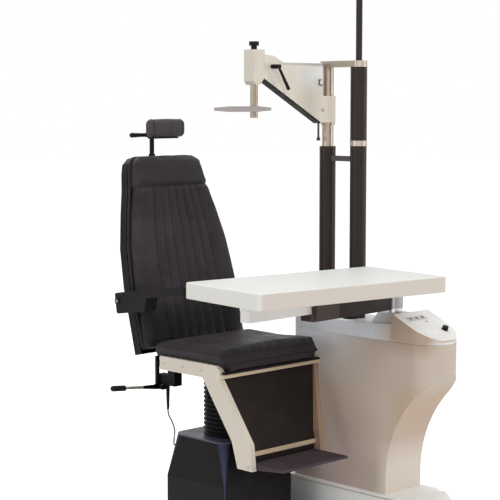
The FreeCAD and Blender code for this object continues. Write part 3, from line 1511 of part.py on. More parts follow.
def make_refractor_arm():
    """The head block, the web and the sleeve, a collar that carries them and a dark trim."""
    pole = (v.pole_x, v.arm_pole_y)
    front, rear = v.arm_pole_y - v.arm_body_half, v.arm_pole_y + v.arm_body_half
    web_front, web_rear = v.arm_pole_y - v.arm_web_half, v.arm_pole_y + v.arm_web_half
    nose_gap = v.head_nose_z + v.head_nose_x
    block = extrusion("arm_head_block", "XZ", [
        (v.arm_head_x, v.arm_head_low_z), (v.arm_head_x, v.arm_head_top_z),
        (v.arm_head_left, v.arm_head_top_z), (v.arm_head_left, nose_gap),
        (v.head_nose_x, v.head_nose_z), (v.head_nose_right, v.head_nose_z),
    ], (front, rear))
    web = extrusion("arm_web", "XZ", [
        (v.arm_heel_x, v.arm_heel_z), (v.arm_back_x, v.arm_heel_z),
        (v.arm_back_x, v.arm_sleeve_high), (v.arm_upper_x, v.arm_sleeve_high),
        (v.arm_upper_x, v.arm_top_z), (v.arm_dip_x, v.arm_top_z),
        (v.arm_head_slope_x, v.arm_head_slope_z), (v.arm_head_x, v.arm_step_z),
        (v.head_nose_right, v.arm_step_z), (v.head_nose_right, v.arm_head_low_z),
        (v.arm_head_x, v.arm_head_low_z),
    ], (web_front, web_rear))
    sleeve = cylinder("arm_sleeve", v.arm_sleeve_radius, pole, (v.arm_sleeve_low, v.arm_sleeve_high))
    neck = box("arm_neck", (v.arm_heel_x, v.pole_x), (web_front, web_rear),
               (v.arm_sleeve_low, v.arm_sleeve_high))
    blank = fuse("arm_blank", block, web, sleeve, neck)
    head = (v.shaft_x, v.arm_pole_y)
    bores = [
        cylinder("arm_pole_bore", v.chrome_pole_radius + v.pin_gap, pole,
                 (v.arm_sleeve_low - v.overrun, v.arm_sleeve_high + v.overrun)),
        cylinder("arm_shaft_bore", v.shaft_neck_radius + v.pin_gap, head,
                 (v.head_nose_z - v.overrun, v.arm_head_top_z + v.overrun)),
        cylinder("arm_clamp_bore", v.clamp_pin_radius + v.pin_gap, (v.clamp_x, v.clamp_z),
                 (web_front - v.overrun, web_front + v.clamp_pin_depth + v.fit_gap), "y"),
        cylinder("arm_pull_bore", v.pull_pin_radius + v.pin_gap, (v.pull_pin_x, v.arm_pole_y),
                 (v.arm_heel_z - v.overrun, v.arm_heel_z + v.pull_pin_sink + v.fit_gap)),
    ]
    node("arm_casting", cut("arm_casting", blank, *bores))
    collar_top = v.arm_sleeve_low - v.fit_gap
    node("arm_height_collar", tube("arm_height_collar", v.support_collar_radius,
                                   v.chrome_pole_radius + v.pin_gap, pole,
                                   (collar_top - v.support_collar_height, collar_top)))
    side = v.service_gap / 2
    node("arm_underside_trim", extrusion("arm_underside_trim", "XZ", [
        (v.arm_head_x, v.arm_head_low_z - v.trim_thickness),
        (v.arm_heel_x, v.arm_heel_z - v.trim_thickness), (v.arm_heel_x, v.arm_heel_z),
        (v.arm_head_x, v.arm_head_low_z),
    ], (web_front + side, web_rear - side)))


def make_arm_fittings():
    """The head's knob, the clamp handle, the pull pin, the instrument shaft and its rail."""
    head = (v.shaft_x, v.arm_pole_y)
    neck_top = v.arm_head_top_z - v.fit_gap
    stem = v.shaft_neck_radius / 2
    thick = cylinder("shaft_body", v.shaft_radius, head, (v.shaft_low, v.head_nose_z - v.fit_gap))
    neck = cylinder("shaft_neck", v.shaft_neck_radius, head, (v.shaft_low, neck_top))
    socket = cylinder("shaft_socket", stem + v.pin_gap, head,
                      (neck_top - v.top_knob_radius, neck_top + v.overrun))
    node("refractor_shaft", cut("refractor_shaft", fuse("shaft_blank", thick, neck), socket))
    knob_low = v.arm_head_top_z + v.fit_gap
    shoulder = knob_low + v.top_knob_neck_height
    node("arm_top_knob", fuse(
        "arm_top_knob",
        cylinder("top_knob_stem", stem, head, (knob_low - v.top_knob_radius + v.overrun, shoulder)),
        cylinder("top_knob_neck", v.top_knob_neck, head, (knob_low, shoulder)),
        cylinder("top_knob_cap", v.top_knob_radius, head, (shoulder, shoulder + v.top_knob_height))))
    rail_top = v.rail_low + v.rail_height
    back = v.arm_pole_y - v.shaft_radius
    front = back - v.rail_depth
    lip = (v.rail_height - v.rail_tip_height) / 2
    quarter = (v.rail_right - v.rail_left) / 4
    bar = extrusion("rail_bar", "XZ", [
        (v.rail_left, v.rail_low + lip), (v.rail_left + quarter, v.rail_low),
        (v.rail_right - quarter, v.rail_low), (v.rail_right, v.rail_low + lip),
        (v.rail_right, rail_top - lip), (v.rail_right - quarter, rail_top),
        (v.rail_left + quarter, rail_top), (v.rail_left, rail_top - lip),
    ], (front, back))
    saddle = box("rail_saddle", (v.shaft_x - v.saddle_half, v.shaft_x + v.saddle_half),
                 (back, v.arm_pole_y + v.saddle_half), (v.rail_low, rail_top))
    seat = cylinder("saddle_seat", v.shaft_radius, head, (v.rail_low - v.overrun, rail_top + v.overrun))
    node("refractor_rail", cut("refractor_rail", fuse("rail_blank", bar, saddle), seat))
    face = v.arm_pole_y - v.arm_web_half - v.fit_gap
    centre = (v.clamp_x, v.clamp_z)
    hub = cylinder("clamp_hub", v.clamp_hub_radius, centre, (face - v.clamp_hub_length, face), "y")
    pin = cylinder("clamp_pin", v.clamp_pin_radius, centre, (face, face + v.clamp_pin_depth), "y")
    middle = face - v.clamp_hub_length + v.clamp_tip_radius
    handle = doc.addObject("Part::Cone", "clamp_handle")
    handle.Placement = Placement(Vector(), Rotation(Y_WAY, 1))
    bind(handle, "Placement.Rotation.Angle", v.clamp_angle + QUARTER_TURN)
    bind(handle, "Radius1", v.clamp_tip_radius * v.clamp_root_share)
    bind(handle, "Radius2", v.clamp_tip_radius)
    bind(handle, "Height", v.clamp_length)
    move(handle, v.clamp_x, middle, v.clamp_z)
    tip = ball("clamp_tip", v.clamp_tip_radius, v.clamp_x + v.clamp_length * cosine(v.clamp_angle),
               middle, v.clamp_z - v.clamp_length * sine(v.clamp_angle))
    node("arm_clamp_lever", fuse("arm_clamp_lever", hub, pin, handle, tip))
    pull = (v.pull_pin_x, v.arm_pole_y)
    rod = cylinder("pull_rod", v.pull_pin_radius, pull,
                   (v.pull_pin_low, v.arm_heel_z + v.pull_pin_sink))
    grip = cylinder("pull_head", v.pull_pin_head, pull,
                    (v.pull_pin_low, v.pull_pin_low + v.pull_pin_head_height))
    node("arm_lock_pin", fuse("arm_lock_pin", rod, grip))


def make_table():
    """The top, its rail, the swing arm on the post and the brake knob, turned about the post."""
    post = (v.post_x, v.table_post_y)
    post_top = v.swing_top - v.swing_hub_inner - v.fit_gap
    node("table_post", cylinder("table_post", v.table_post_radius, post,
                                (v.console_seam_z + v.cover_seat_height, post_top)))
    left, right = -v.table_centre - v.table_length / 2, v.table_length / 2 - v.table_centre
    near, far = -v.table_centre_shift - v.table_depth / 2, v.table_depth / 2 - v.table_centre_shift
    board = rounded_block("table_board", (left, right), (near, far), (table_low, v.table_top_z),
                          v.table_corner)
    round_edges(board, v.table_edge, lambda edge: edge.BoundBox.ZLength < SAME)
    node("table_top", board, frame=TABLE)
    hub = cylinder("swing_hub", v.swing_hub_radius, CENTRE, (v.swing_low, v.swing_top))
    beam = box("swing_beam", (-v.swing_left, -v.swing_beam_end), (-v.swing_half, v.swing_half),
               (v.swing_low, v.swing_top))
    neck = box("swing_neck", (-v.swing_beam_end, ZERO), (-v.swing_half / 2, v.swing_half / 2),
               (v.swing_low, v.swing_top))
    clip = box("swing_clip", (-v.swing_box_left, -v.swing_box_right), (-v.swing_box_front, -v.swing_half),
               (v.swing_low + v.swing_hub_inner, v.swing_top - v.swing_hub_radius))
    hole = cylinder("swing_hole", v.table_post_radius + v.pin_gap, CENTRE,
                    (v.swing_low - v.overrun, v.swing_top - v.swing_hub_inner))
    inner = v.rail_bar_half + v.fit_gap
    groove = box("swing_groove", (-v.swing_left - v.overrun, v.rail_travel - v.rail_bar_right),
                 (-inner, inner), (v.rail_bar_low - v.fit_gap, v.swing_top + v.overrun))
    brake_hole = cylinder("swing_brake_hole", v.brake_pin_radius + v.pin_gap, (-v.brake_x, ZERO),
                          (v.swing_low - v.overrun, v.rail_bar_low + v.overrun))
    blank = fuse("swing_blank", hub, beam, neck, clip)
    node("table_swing_arm", cut("swing_arm_whole", blank, hole, groove, brake_hole), frame=SWING)
    node("table_support_rail", box("rail_support", (-v.rail_bar_left, -v.rail_bar_right),
                                   (-v.rail_bar_half, v.rail_bar_half),
                                   (v.rail_bar_low, table_low)), frame=SWING)
    knob_top = v.swing_low - v.fit_gap
    centre = (-v.brake_x, ZERO)
    disc = cylinder("brake_disc", v.brake_radius, centre, (knob_top - v.brake_height, knob_top))
    pin = cylinder("brake_pin", v.brake_pin_radius, centre,
                   (knob_top - v.brake_height, v.rail_bar_low - v.fit_gap))
    node("table_brake_knob", fuse("brake_whole", disc, pin), frame=SWING)


for make in (
    make_floor_plate, make_chair_base, make_lift, make_bellows, make_seat_frame, make_side_bracket,
    make_leg_rest, make_footplate, make_seat_cushion, make_recline_casing, make_recline_lever,
    make_cable, make_back_cushion, make_back_shell, make_back_frame, make_armrest,
    make_headrest_guide, make_headrest_post, make_headrest, make_headrest_lever, make_console_body,
    make_top_cover, make_panel, make_poles, make_refractor_arm, make_arm_fittings, make_table,
):
    make()

doc.recompute()
for item in doc.Objects:
    if {"Invalid", "Error"} & set(item.State):
        raise RuntimeError(f"{item.Name} did not compute")
for piece in nodes:
    if piece.Shape.isNull() or not piece.Shape.isValid():
        raise RuntimeError(f"{piece.Label} has a bad shape")
os.makedirs("parts", exist_ok=True)
for piece in nodes:
    piece.Shape.exportStep(f"parts/{piece.Label}.step")
print("pieces", len(nodes))
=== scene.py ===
import math

import bmesh
import bpy
from mathutils import Matrix, Vector, noise
from mathutils.bvhtree import BVHTree


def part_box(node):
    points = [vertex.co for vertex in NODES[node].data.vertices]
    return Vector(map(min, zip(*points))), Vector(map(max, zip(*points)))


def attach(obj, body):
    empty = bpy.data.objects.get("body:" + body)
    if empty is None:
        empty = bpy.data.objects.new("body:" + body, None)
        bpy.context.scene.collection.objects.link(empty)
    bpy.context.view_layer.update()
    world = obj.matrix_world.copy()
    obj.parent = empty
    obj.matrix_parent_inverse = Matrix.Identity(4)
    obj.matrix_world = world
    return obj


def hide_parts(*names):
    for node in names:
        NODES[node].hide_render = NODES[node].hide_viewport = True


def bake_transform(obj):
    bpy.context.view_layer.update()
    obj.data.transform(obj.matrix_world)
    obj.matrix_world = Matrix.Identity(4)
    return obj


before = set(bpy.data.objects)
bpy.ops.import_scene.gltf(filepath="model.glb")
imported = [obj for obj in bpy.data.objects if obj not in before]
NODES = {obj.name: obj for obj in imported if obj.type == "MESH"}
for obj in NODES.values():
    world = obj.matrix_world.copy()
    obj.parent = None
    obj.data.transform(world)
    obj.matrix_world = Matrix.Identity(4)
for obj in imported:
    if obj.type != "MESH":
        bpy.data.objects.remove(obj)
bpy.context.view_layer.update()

# Eye examination chair with its console, swing table and instrument arm.
# Everything is in metres: +Z up, the patient faces -Y, the console stands at +X.

scene = bpy.context.scene


# Camera and studio

def add_object(name, data):
    item = bpy.data.objects.new(name, data)
    scene.collection.objects.link(item)
    return item


SENSOR_WIDTH = 36
PICTURE_PIXELS = 500
FOCAL_PIXELS = 1517
CAMERA_PLACE = (-3.83165, -4.03765, 1.55979)
# How far the camera looks down, and its turn from +Y, in degrees
CAMERA_DIP = 5.6
CAMERA_HEADING = -44.3


def make_camera():
    data = bpy.data.cameras.new("camera")
    data.sensor_width = SENSOR_WIDTH
    data.lens = SENSOR_WIDTH * FOCAL_PIXELS / PICTURE_PIXELS
    data.clip_end = 60
    camera = add_object("camera", data)
    camera.location = CAMERA_PLACE
    camera.rotation_euler = (math.radians(90 - CAMERA_DIP), 0, math.radians(CAMERA_HEADING))
    scene.camera = camera


def area_light(name, place, target, size, power, colour):
    data = bpy.data.lights.new(name, "AREA")
    data.shape = "RECTANGLE"
    data.size, data.size_y = size
    data.energy = power
    data.color = colour
    lamp = add_object(name, data)
    lamp.location = place
    lamp.rotation_euler = (Vector(target) - Vector(place)).to_track_quat("-Z", "Y").to_euler()


def seen_directly(tree):
    """1 for rays from the camera, mirrors and glass, 0 for the light that things get."""
    path = tree.nodes.new("ShaderNodeLightPath")
    last = path.outputs["Is Camera Ray"]
    for kind in ("Is Glossy Ray", "Is Transmission Ray"):
        larger = tree.nodes.new("ShaderNodeMath")
        larger.operation = "MAXIMUM"
        tree.links.new(last, larger.inputs[0])
        tree.links.new(path.outputs[kind], larger.inputs[1])
        last = larger.outputs[0]
    return last


# Each lamp's name, place, target, size, power and colour
LAMPS = [
    ("key", (-2.2, -3.6, 3.4), (0.1, -0.2, 0.7), (2.6, 2.0), 75, (1, 0.985, 0.96)),
    ("left_fill", (-3.8, 0.6, 1.8), (0, 0, 0.8), (2.0, 2.4), 30, (0.93, 0.96, 1)),
    ("right_fill", (2.9, -3.0, 1.4), (0.3, -0.5, 0.5), (1.6, 1.8), 26, (1, 0.95, 0.9)),
    ("top", (0.2, 0.3, 4.2), (0.1, -0.2, 0.6), (2.8, 2.8), 45, (1, 1, 1)),
    ("rear", (0.6, 3.4, 2.4), (0.1, 0, 0.8), (2.4, 2.0), 22, (1, 1, 1)),
]
AMBIENT = 0.42
FLOOR_GLOW = 0.75
FLOOR_REACH = 30


def split_by_ray(tree, lighting, shown, output):
    """Gives one shader to the light that things get and another to what is seen directly."""
    mix = tree.nodes.new("ShaderNodeMixShader")
    out = tree.nodes.new(output)
    tree.links.new(seen_directly(tree), mix.inputs["Fac"])
    tree.links.new(lighting.outputs[0], mix.inputs[1])
    tree.links.new(shown.outputs[0], mix.inputs[2])
    tree.links.new(mix.outputs[0], out.inputs["Surface"])


def make_lights():
    """Soft lamps, and a white background that lights the object less than it shows."""
    for lamp in LAMPS:
        area_light(*lamp)
    world = bpy.data.worlds.new("studio")
    scene.world = world
    world.use_nodes = True
    tree = world.node_tree
    tree.nodes.clear()
    dim = tree.nodes.new("ShaderNodeBackground")
    dim.inputs["Color"].default_value = (0.95, 0.97, 1, 1)
    dim.inputs["Strength"].default_value = AMBIENT
    pale = tree.nodes.new("ShaderNodeBackground")
    pale.inputs["Color"].default_value = (1, 1, 1, 1)
    pale.inputs["Strength"].default_value = 1
    split_by_ray(tree, dim, pale, "ShaderNodeOutputWorld")


def make_floor():
    """A pale floor that looks white to the camera and keeps the object's shadow."""
    mesh = bpy.data.meshes.new("floor")
    signs = ((-1, -1), (1, -1), (1, 1), (-1, 1))
    corners = [(sx * FLOOR_REACH, sy * FLOOR_REACH, 0) for sx, sy in signs]
    mesh.from_pydata(corners, [], [(0, 1, 2, 3)])
    floor = add_object("floor", mesh)
    floor.location.z = -0.0005
    material = bpy.data.materials.new("floor_white")
    material.use_nodes = True
    tree = material.node_tree
    tree.nodes.clear()
    plain = tree.nodes.new("ShaderNodeBsdfDiffuse")
    plain.inputs["Color"].default_value = (0.86, 0.86, 0.86, 1)
    lit = tree.nodes.new("ShaderNodeEmission")
    lit.inputs["Color"].default_value = (1, 1, 1, 1)
    lit.inputs["Strength"].default_value = FLOOR_GLOW
    both = tree.nodes.new("ShaderNodeAddShader")
    tree.links.new(plain.outputs[0], both.inputs[0])
    tree.links.new(lit.outputs[0], both.inputs[1])
    split_by_ray(tree, plain, both, "ShaderNodeOutputMaterial")
    mesh.materials.append(material)


make_camera()
scene.view_settings.view_transform = "Standard"


# Materials

def linear(red, green, blue):
    """A colour as a screen shows it, from 0 to 255, turned into Blender's own scale."""
    out = []
    for value in (red, green, blue):
        share = value / 255
        out.append(share / 12.92 if share <= 0.04045 else ((share + 0.055) / 1.055) ** 2.4)
    return tuple(out)


class Finish:
    """A procedural material that is put together step by step on one Principled shader."""

    def __init__(self, name, colour, rough, metal=0.0):
        self.material = bpy.data.materials.new(name)
        self.material.use_nodes = True
        self.tree = self.material.node_tree
        self.shader = self.tree.nodes["Principled BSDF"]
        self.colour = linear(*colour)
        self.rough = rough
        self.shader.inputs["Base Color"].default_value = (*self.colour, 1)
        self.shader.inputs["Roughness"].default_value = rough
        self.shader.inputs["Metallic"].default_value = metal
        coordinates = self.new("ShaderNodeTexCoord")
        self.place = coordinates.outputs["Object"]
        self.heading = coordinates.outputs["Normal"]
        self.tint = None
        self.relief = None
        self.material.diffuse_color = (*self.colour, 1)

    def new(self, kind, **settings):
        node = self.tree.nodes.new(kind)
        for key, value in settings.items():
            if key in node.inputs:
                node.inputs[key].default_value = value
            else:
                setattr(node, key, value)
        return node

    def link(self, start, end):
        self.tree.links.new(start, end)

    def noise(self, scale, detail=3.0, stretch=(1, 1, 1), roughness=0.55):
        mapping = self.new("ShaderNodeMapping")
        mapping.inputs["Scale"].default_value = stretch
        self.link(self.place, mapping.inputs["Vector"])
        node = self.new("ShaderNodeTexNoise", Scale=scale, Detail=detail, Roughness=roughness)
        self.link(mapping.outputs[0], node.inputs["Vector"])
        return node.outputs["Fac"]

    def ramp(self, factor, low, high, start=0, end=1):
        """Goes from start to end while the factor goes from low to high."""
        node = self.new("ShaderNodeMapRange")
        for name, value in (("From Min", low), ("From Max", high), ("To Min", start), ("To Max", end)):
            node.inputs[name].default_value = value
        self.link(factor, node.inputs["Value"])
        return node.outputs["Result"]

    def blend_colour(self, factor, colour):
        """Mixes another colour over what is there, by a factor."""
        mix = self.new("ShaderNodeMix", data_type="RGBA")
        if self.tint is None:
            mix.inputs["A"].default_value = (*self.colour, 1)
        else:
            self.link(self.tint, mix.inputs["A"])
        mix.inputs["B"].default_value = (*linear(*colour), 1)
        self.link(factor, mix.inputs["Factor"])
        self.tint = mix.outputs["Result"]
        self.link(self.tint, self.shader.inputs["Base Color"])
        return self

    def mottle(self, colour, scale=9, low=0.35, high=0.75, stretch=(1, 1, 1)):
        """Large soft patches of a second colour."""
        return self.blend_colour(self.ramp(self.noise(scale, 3, stretch), low, high), colour)

    def patch(self, colour, *spans, source=None):
        """A second colour inside a box: each span is an axis, where it starts and where it is full."""
        factor = None
        for axis, start, end in spans:
            split = self.new("ShaderNodeSeparateXYZ")
            self.link(source or self.place, split.inputs[0])
            ramp = self.ramp(split.outputs[axis], start, end)
            if factor is not None:
                times = self.new("ShaderNodeMath", operation="MULTIPLY")
                self.link(factor, times.inputs[0])
                self.link(ramp, times.inputs[1])
                ramp = times.outputs[0]
            factor = ramp
        return self.blend_colour(factor, colour)

    def facing(self, colour, *spans):
        """A second colour on the sides that look along the object's axes, in spans like patch."""
        return self.patch(colour, *spans, source=self.heading)

    def specks(self, colour, scale=260, low=0.66, high=0.8):
        """Small wear marks and dust."""
        return self.blend_colour(self.ramp(self.noise(scale, 5), low, high), colour)

    def uneven(self, spread, scale=22, stretch=(1, 1, 1)):
        """Roughness that wanders, as on a surface that hands and cloths have touched."""
        low, high = max(self.rough - spread, 0.02), min(self.rough + spread, 1)
        rough = self.ramp(self.noise(scale, 4, stretch), 0.3, 0.7, low, high)
        self.link(rough, self.shader.inputs["Roughness"])
        return self

    def bump(self, height, distance, strength=0.5):
        node = self.new("ShaderNodeBump", Distance=distance, Strength=strength)
        self.link(height, node.inputs["Height"])
        if self.relief is not None:
            self.link(self.relief, node.inputs["Normal"])
        self.relief = node.outputs["Normal"]
        self.link(self.relief, self.shader.inputs["Normal"])
        return self

    def grain(self, scale=900, distance=0.0002, strength=0.4, stretch=(1, 1, 1)):
        """Fine relief, such as orange peel in paint or the grain of moulded plastic."""
        return self.bump(self.noise(scale, 4, stretch), distance, strength)

    def pebbles(self, scale=420, distance=0.0005, strength=0.7):
        """The cells and creases of leather grain."""
        cells = self.new("ShaderNodeTexVoronoi", feature="DISTANCE_TO_EDGE", Scale=scale)
        warp = self.new("ShaderNodeTexNoise", Scale=60, Detail=2)
        add = self.new("ShaderNodeMix", data_type="VECTOR")
        add.inputs["Factor"].default_value = 0.03
        self.link(self.place, warp.inputs["Vector"])
        self.link(self.place, add.inputs["A"])
        self.link(warp.outputs["Color"], add.inputs["B"])
        self.link(add.outputs["Result"], cells.inputs["Vector"])
        return self.bump(self.ramp(cells.outputs["Distance"], 0, 0.12), distance, strength)

    def set(self, **values):
        names = {"sheen": "Sheen Weight", "sheen_rough": "Sheen Roughness", "coat": "Coat Weight",
                 "coat_rough": "Coat Roughness", "gloss": "Specular IOR Level"}
        for key, value in values.items():
            self.shader.inputs[names[key]].default_value = value
        return self


def leather(name, colour, light, dark):
    finish = Finish(name, colour, 0.44)
    finish.mottle(light, 5, 0.42, 0.8).mottle(dark, 14, 0.5, 0.85).specks(light, 140, 0.64, 0.8)
    finish.uneven(0.09, 12).pebbles(430, 0.0005, 0.55)
    finish.bump(finish.noise(26, 4), 0.002, 0.25)
    return finish.set(sheen=0.03, sheen_rough=0.45, gloss=0.13)


def paint(name, colour, shade, rough=0.38, coat=0.15, gloss=0.5):
    finish = Finish(name, colour, rough)
    finish.mottle(shade, 3.5, 0.4, 0.85).specks(shade, 210, 0.68, 0.8)
    finish.uneven(0.07, 16).grain(700, 0.00012, 0.35)
    return finish.set(coat=coat, coat_rough=0.25, gloss=gloss)


def plastic(name, colour, shade, rough=0.5, grain=1400, gloss=0.1):
    finish = Finish(name, colour, rough)
    finish.mottle(shade, 8, 0.4, 0.8).specks(shade, 420, 0.62, 0.8)
    return finish.uneven(0.08, 30).grain(grain, 0.00025, 0.5).set(gloss=gloss)


def rubber(name, colour, shade):
    finish = Finish(name, colour, 0.62)
    finish.mottle(shade, 11, 0.35, 0.8).specks(shade, 500, 0.6, 0.8)
    return finish.uneven(0.1, 40).grain(1100, 0.0003, 0.6).set(gloss=0.12)


def metal(name, colour, shade, rough, brushed=None):
    """Bare metal; a brushed one has streaks across the axis that is named."""
    finish = Finish(name, colour, rough, 1.0)
    stretch = {None: (1, 1, 1), "x": (0.02, 1, 1), "y": (1, 0.02, 1), "z": (1, 1, 0.02)}[brushed]
    finish.mottle(shade, 30, 0.4, 0.8, stretch)
    finish.uneven(0.06, 240 if brushed else 26, stretch)
    return finish.grain(1500, 0.00006, 0.3, stretch)


FINISHES = {
    "leather": leather("charcoal_leather", (48, 43, 47), (62, 56, 60), (36, 32, 36)),
    "head_leather": leather("headrest_leather", (72, 67, 71), (84, 79, 82), (58, 53, 57)),
    "piping": leather("piping_leather", (36, 32, 35), (48, 43, 46), (26, 23, 25)),
    "seat_board": plastic("seat_board_black", (28, 25, 26), (36, 33, 33), 0.55),
    "arm_pad": plastic("armrest_skin", (27, 23, 23), (34, 30, 30), 0.5, 1000),
    "pin_cap": plastic("pin_cap_ivory", (208, 200, 190), (192, 184, 172), 0.4, 1400, 0.4),
    "cream": paint("bracket_cream", (218, 207, 191), (206, 195, 178), 0.4),
    # A copy of the bracket cream for the left bracket, which carries painted shade on its inner and
    # front faces
    "cream_painted_shade": paint("bracket_cream_painted_shade", (218, 207, 191), (206, 195, 178), 0.4),
    "gold": paint("crossbar_beige", (212, 190, 158), (198, 176, 144), 0.3, 0.1),
    "calf": plastic("calf_panel_skin", (35, 28, 27), (43, 35, 33), 0.55, 900),
    "shell": plastic("back_shell_skin", (23, 20, 21), (31, 28, 29), 0.52, 900),
    "casing": plastic("casing_black", (20, 18, 19), (28, 25, 25), 0.5),
    "base": paint("base_black", (22, 18, 19), (29, 25, 26), 0.4, 0, 0.1),
    "cap": paint("base_cap_violet", (86, 80, 95), (98, 92, 105), 0.4, 0, 0.2),
    "black_steel": paint("frame_black", (25, 22, 23), (34, 31, 31), 0.42, 0, 0.12),
    "steel": metal("column_steel", (188, 190, 194), (150, 152, 156), 0.24, "z"),
    "rubber": rubber("bellows_rubber", (25, 22, 24), (34, 31, 34)),
    "tread": rubber("tread_rubber", (66, 57, 62), (76, 67, 71)),
    "cable": rubber("cable_grey", (150, 144, 138), (128, 121, 116)),
    "gland": rubber("gland_black", (25, 23, 23), (36, 33, 33)),
    "rod": metal("lever_rod_steel", (198, 192, 184), (176, 168, 158), 0.24),
    "pole_chrome": metal("pole_satin_chrome", (162, 149, 135), (148, 136, 123), 0.36),
    "shaft": metal("shaft_satin", (148, 135, 122), (138, 126, 114), 0.36),
    "pin": paint("lock_pin_dark", (58, 61, 54), (70, 73, 66), 0.35, 0, 0.3),
    "grip": plastic("grip_black", (24, 24, 24), (34, 33, 32), 0.42),
    "pump": metal("pump_casting", (132, 132, 136), (104, 104, 108), 0.5),
    "console": paint("console_taupe", (204, 186, 171), (197, 180, 165), 0.5, 0, 0.3),
    "plinth": paint("plinth_white", (244, 243, 240), (238, 236, 232), 0.45, 0.05),
    # The bead's grey is painted shade of the bevel round the plinth's top
    "plinth_bead": plastic("plinth_bead_painted_shade", (196, 189, 180), (184, 177, 168), 0.5, 1400, 0.3),
    "moulding": plastic("cover_white", (235, 236, 238), (227, 228, 230), 0.45, 1200, 0.4),
    "panel": plastic("panel_white", (244, 242, 238), (238, 235, 230), 0.45, 1200, 0.4),
    "button": plastic("button_brown", (132, 112, 92), (118, 100, 82), 0.45, 1400, 0.3),
    "key_strip": plastic("key_strip_grey", (218, 212, 204), (208, 201, 192), 0.5, 1400, 0.3),
    "pole": paint("pole_brown", (48, 39, 38), (57, 47, 45), 0.36, 0, 0.14),
    "alloy": metal("satin_alloy", (172, 160, 148), (160, 148, 137), 0.4),
    "post": metal("post_silver", (212, 209, 210), (196, 192, 193), 0.3, "z"),
    "link": paint("link_grey", (84, 78, 75), (94, 88, 84), 0.4, 0, 0.3),
    "enamel": paint("arm_cream", (226, 217, 203), (221, 212, 197), 0.4, 0.05),
    "trim": plastic("trim_black", (26, 23, 23), (36, 33, 32), 0.55),
    "instrument_rail": paint("instrument_rail_grey", (172, 162, 162), (162, 152, 152), 0.42, 0,
                             0.3),
    "swing": paint("swing_dark", (40, 32, 30), (50, 42, 39), 0.5, 0, 0.14),
    "laminate": paint("table_laminate", (235, 236, 231), (233, 233, 227), 0.5, 0, 0.25),
    "light_rail": paint("support_rail_white", (236, 232, 227), (226, 222, 216), 0.42, 0),
    "screw": metal("screw_steel", (170, 166, 160), (120, 116, 112), 0.3),
    "dark_screw": metal("screw_black", (70, 66, 64), (52, 48, 46), 0.4),
}

# Axes of a span in patch and facing
X, Y, Z = 0, 1, 2

# Colours, most of them painted light and shade, that a finish has inside a box of the frame only: a span
# starts and is full at two places
PATCHES = [
    # Painted shade on the lower half of the backrest, and a darker colour on the lever's root
    ("leather", (28, 25, 26), (Z, 0.84, 0.76), (Y, 0.152, 0.165)),
    ("rod", (30, 27, 27), (X, -0.320, -0.317)),
    # Instrument arm: painted cool light on the web by the pole, a darker tip, painted shade in a strip
    # under the upper edge
    ("enamel", (240, 240, 236), (X, 0.20, 0.31), (Z, 1.59, 1.65)),
    ("enamel", (212, 203, 189), (X, 0.064, 0.054)),
    ("enamel", (202, 194, 184), (Z, 1.6905, 1.6925), (X, 0.13, 0.15)),
    # Swing arm: silver hub by the post, lighter front of the beam
    ("swing", (214, 211, 214), (X, 0.350, 0.362)),
    ("swing", (74, 63, 57), (Y, -0.497, -0.502), (X, 0.05, 0.03)),
    # Console and its cover: painted warm light and shade low down and towards the nose, painted cool
    # light high up and towards the rear
    ("console", (188, 168, 160), (Z, 0.50, 0.28), (Y, -0.48, -0.30)),
    ("console", (240, 243, 245), (Z, 0.50, 0.68), (Y, -0.42, -0.12)),
    ("console", (206, 192, 177), (Y, -0.61, -0.68)),
    ("console", (184, 161, 143), (Z, 0.64, 0.69), (Y, -0.40, -0.56), (Y, -0.705, -0.66)),
    ("console", (201, 177, 153), (Y, -0.50, -0.56), (Z, 0.56, 0.49)),
    ("console", (228, 217, 204), (Z, 0.34, 0.22), (Y, -0.44, -0.50)),
    # Painted shade on the cover's front below the panel
    ("moulding", (190, 165, 146), (Y, -0.42, -0.54), (Y, -0.705, -0.66)),
]

# Painted light and shade on the sides that face one way: a span starts and is full at two slopes
SIDES = [
    # Painted shade on the inner and front faces of the left bracket
    ("cream_painted_shade", (160, 130, 110), (X, -0.3, -0.8)),
    ("cream_painted_shade", (160, 130, 110), (Y, -0.3, -0.8)),
    # Painted shade on the table top's front and left edges
    ("laminate", (218, 209, 199), (Y, -0.4, -0.8)),
    ("laminate", (228, 225, 217), (X, -0.4, -0.8)),
    # Painted shade on the panel's left and front faces
    ("panel", (186, 161, 142), (X, -0.3, -0.8)),
    ("panel", (202, 187, 171), (Y, -0.8, -0.95)),
    # Painted bluish highlight down the base's front left corner
    ("base", (60, 62, 88), (X, -0.12, -0.5), (Y, -0.12, -0.5)),
]


def shade_finishes():
    """Adds the painted light and shade, and the other second colours, on one place or one side of a
    piece.
    """
    for finish, colour, *spans in PATCHES:
        FINISHES[finish].patch(colour, *spans)
    for finish, colour, *spans in SIDES:
        FINISHES[finish].facing(colour, *spans)


shade_finishes()

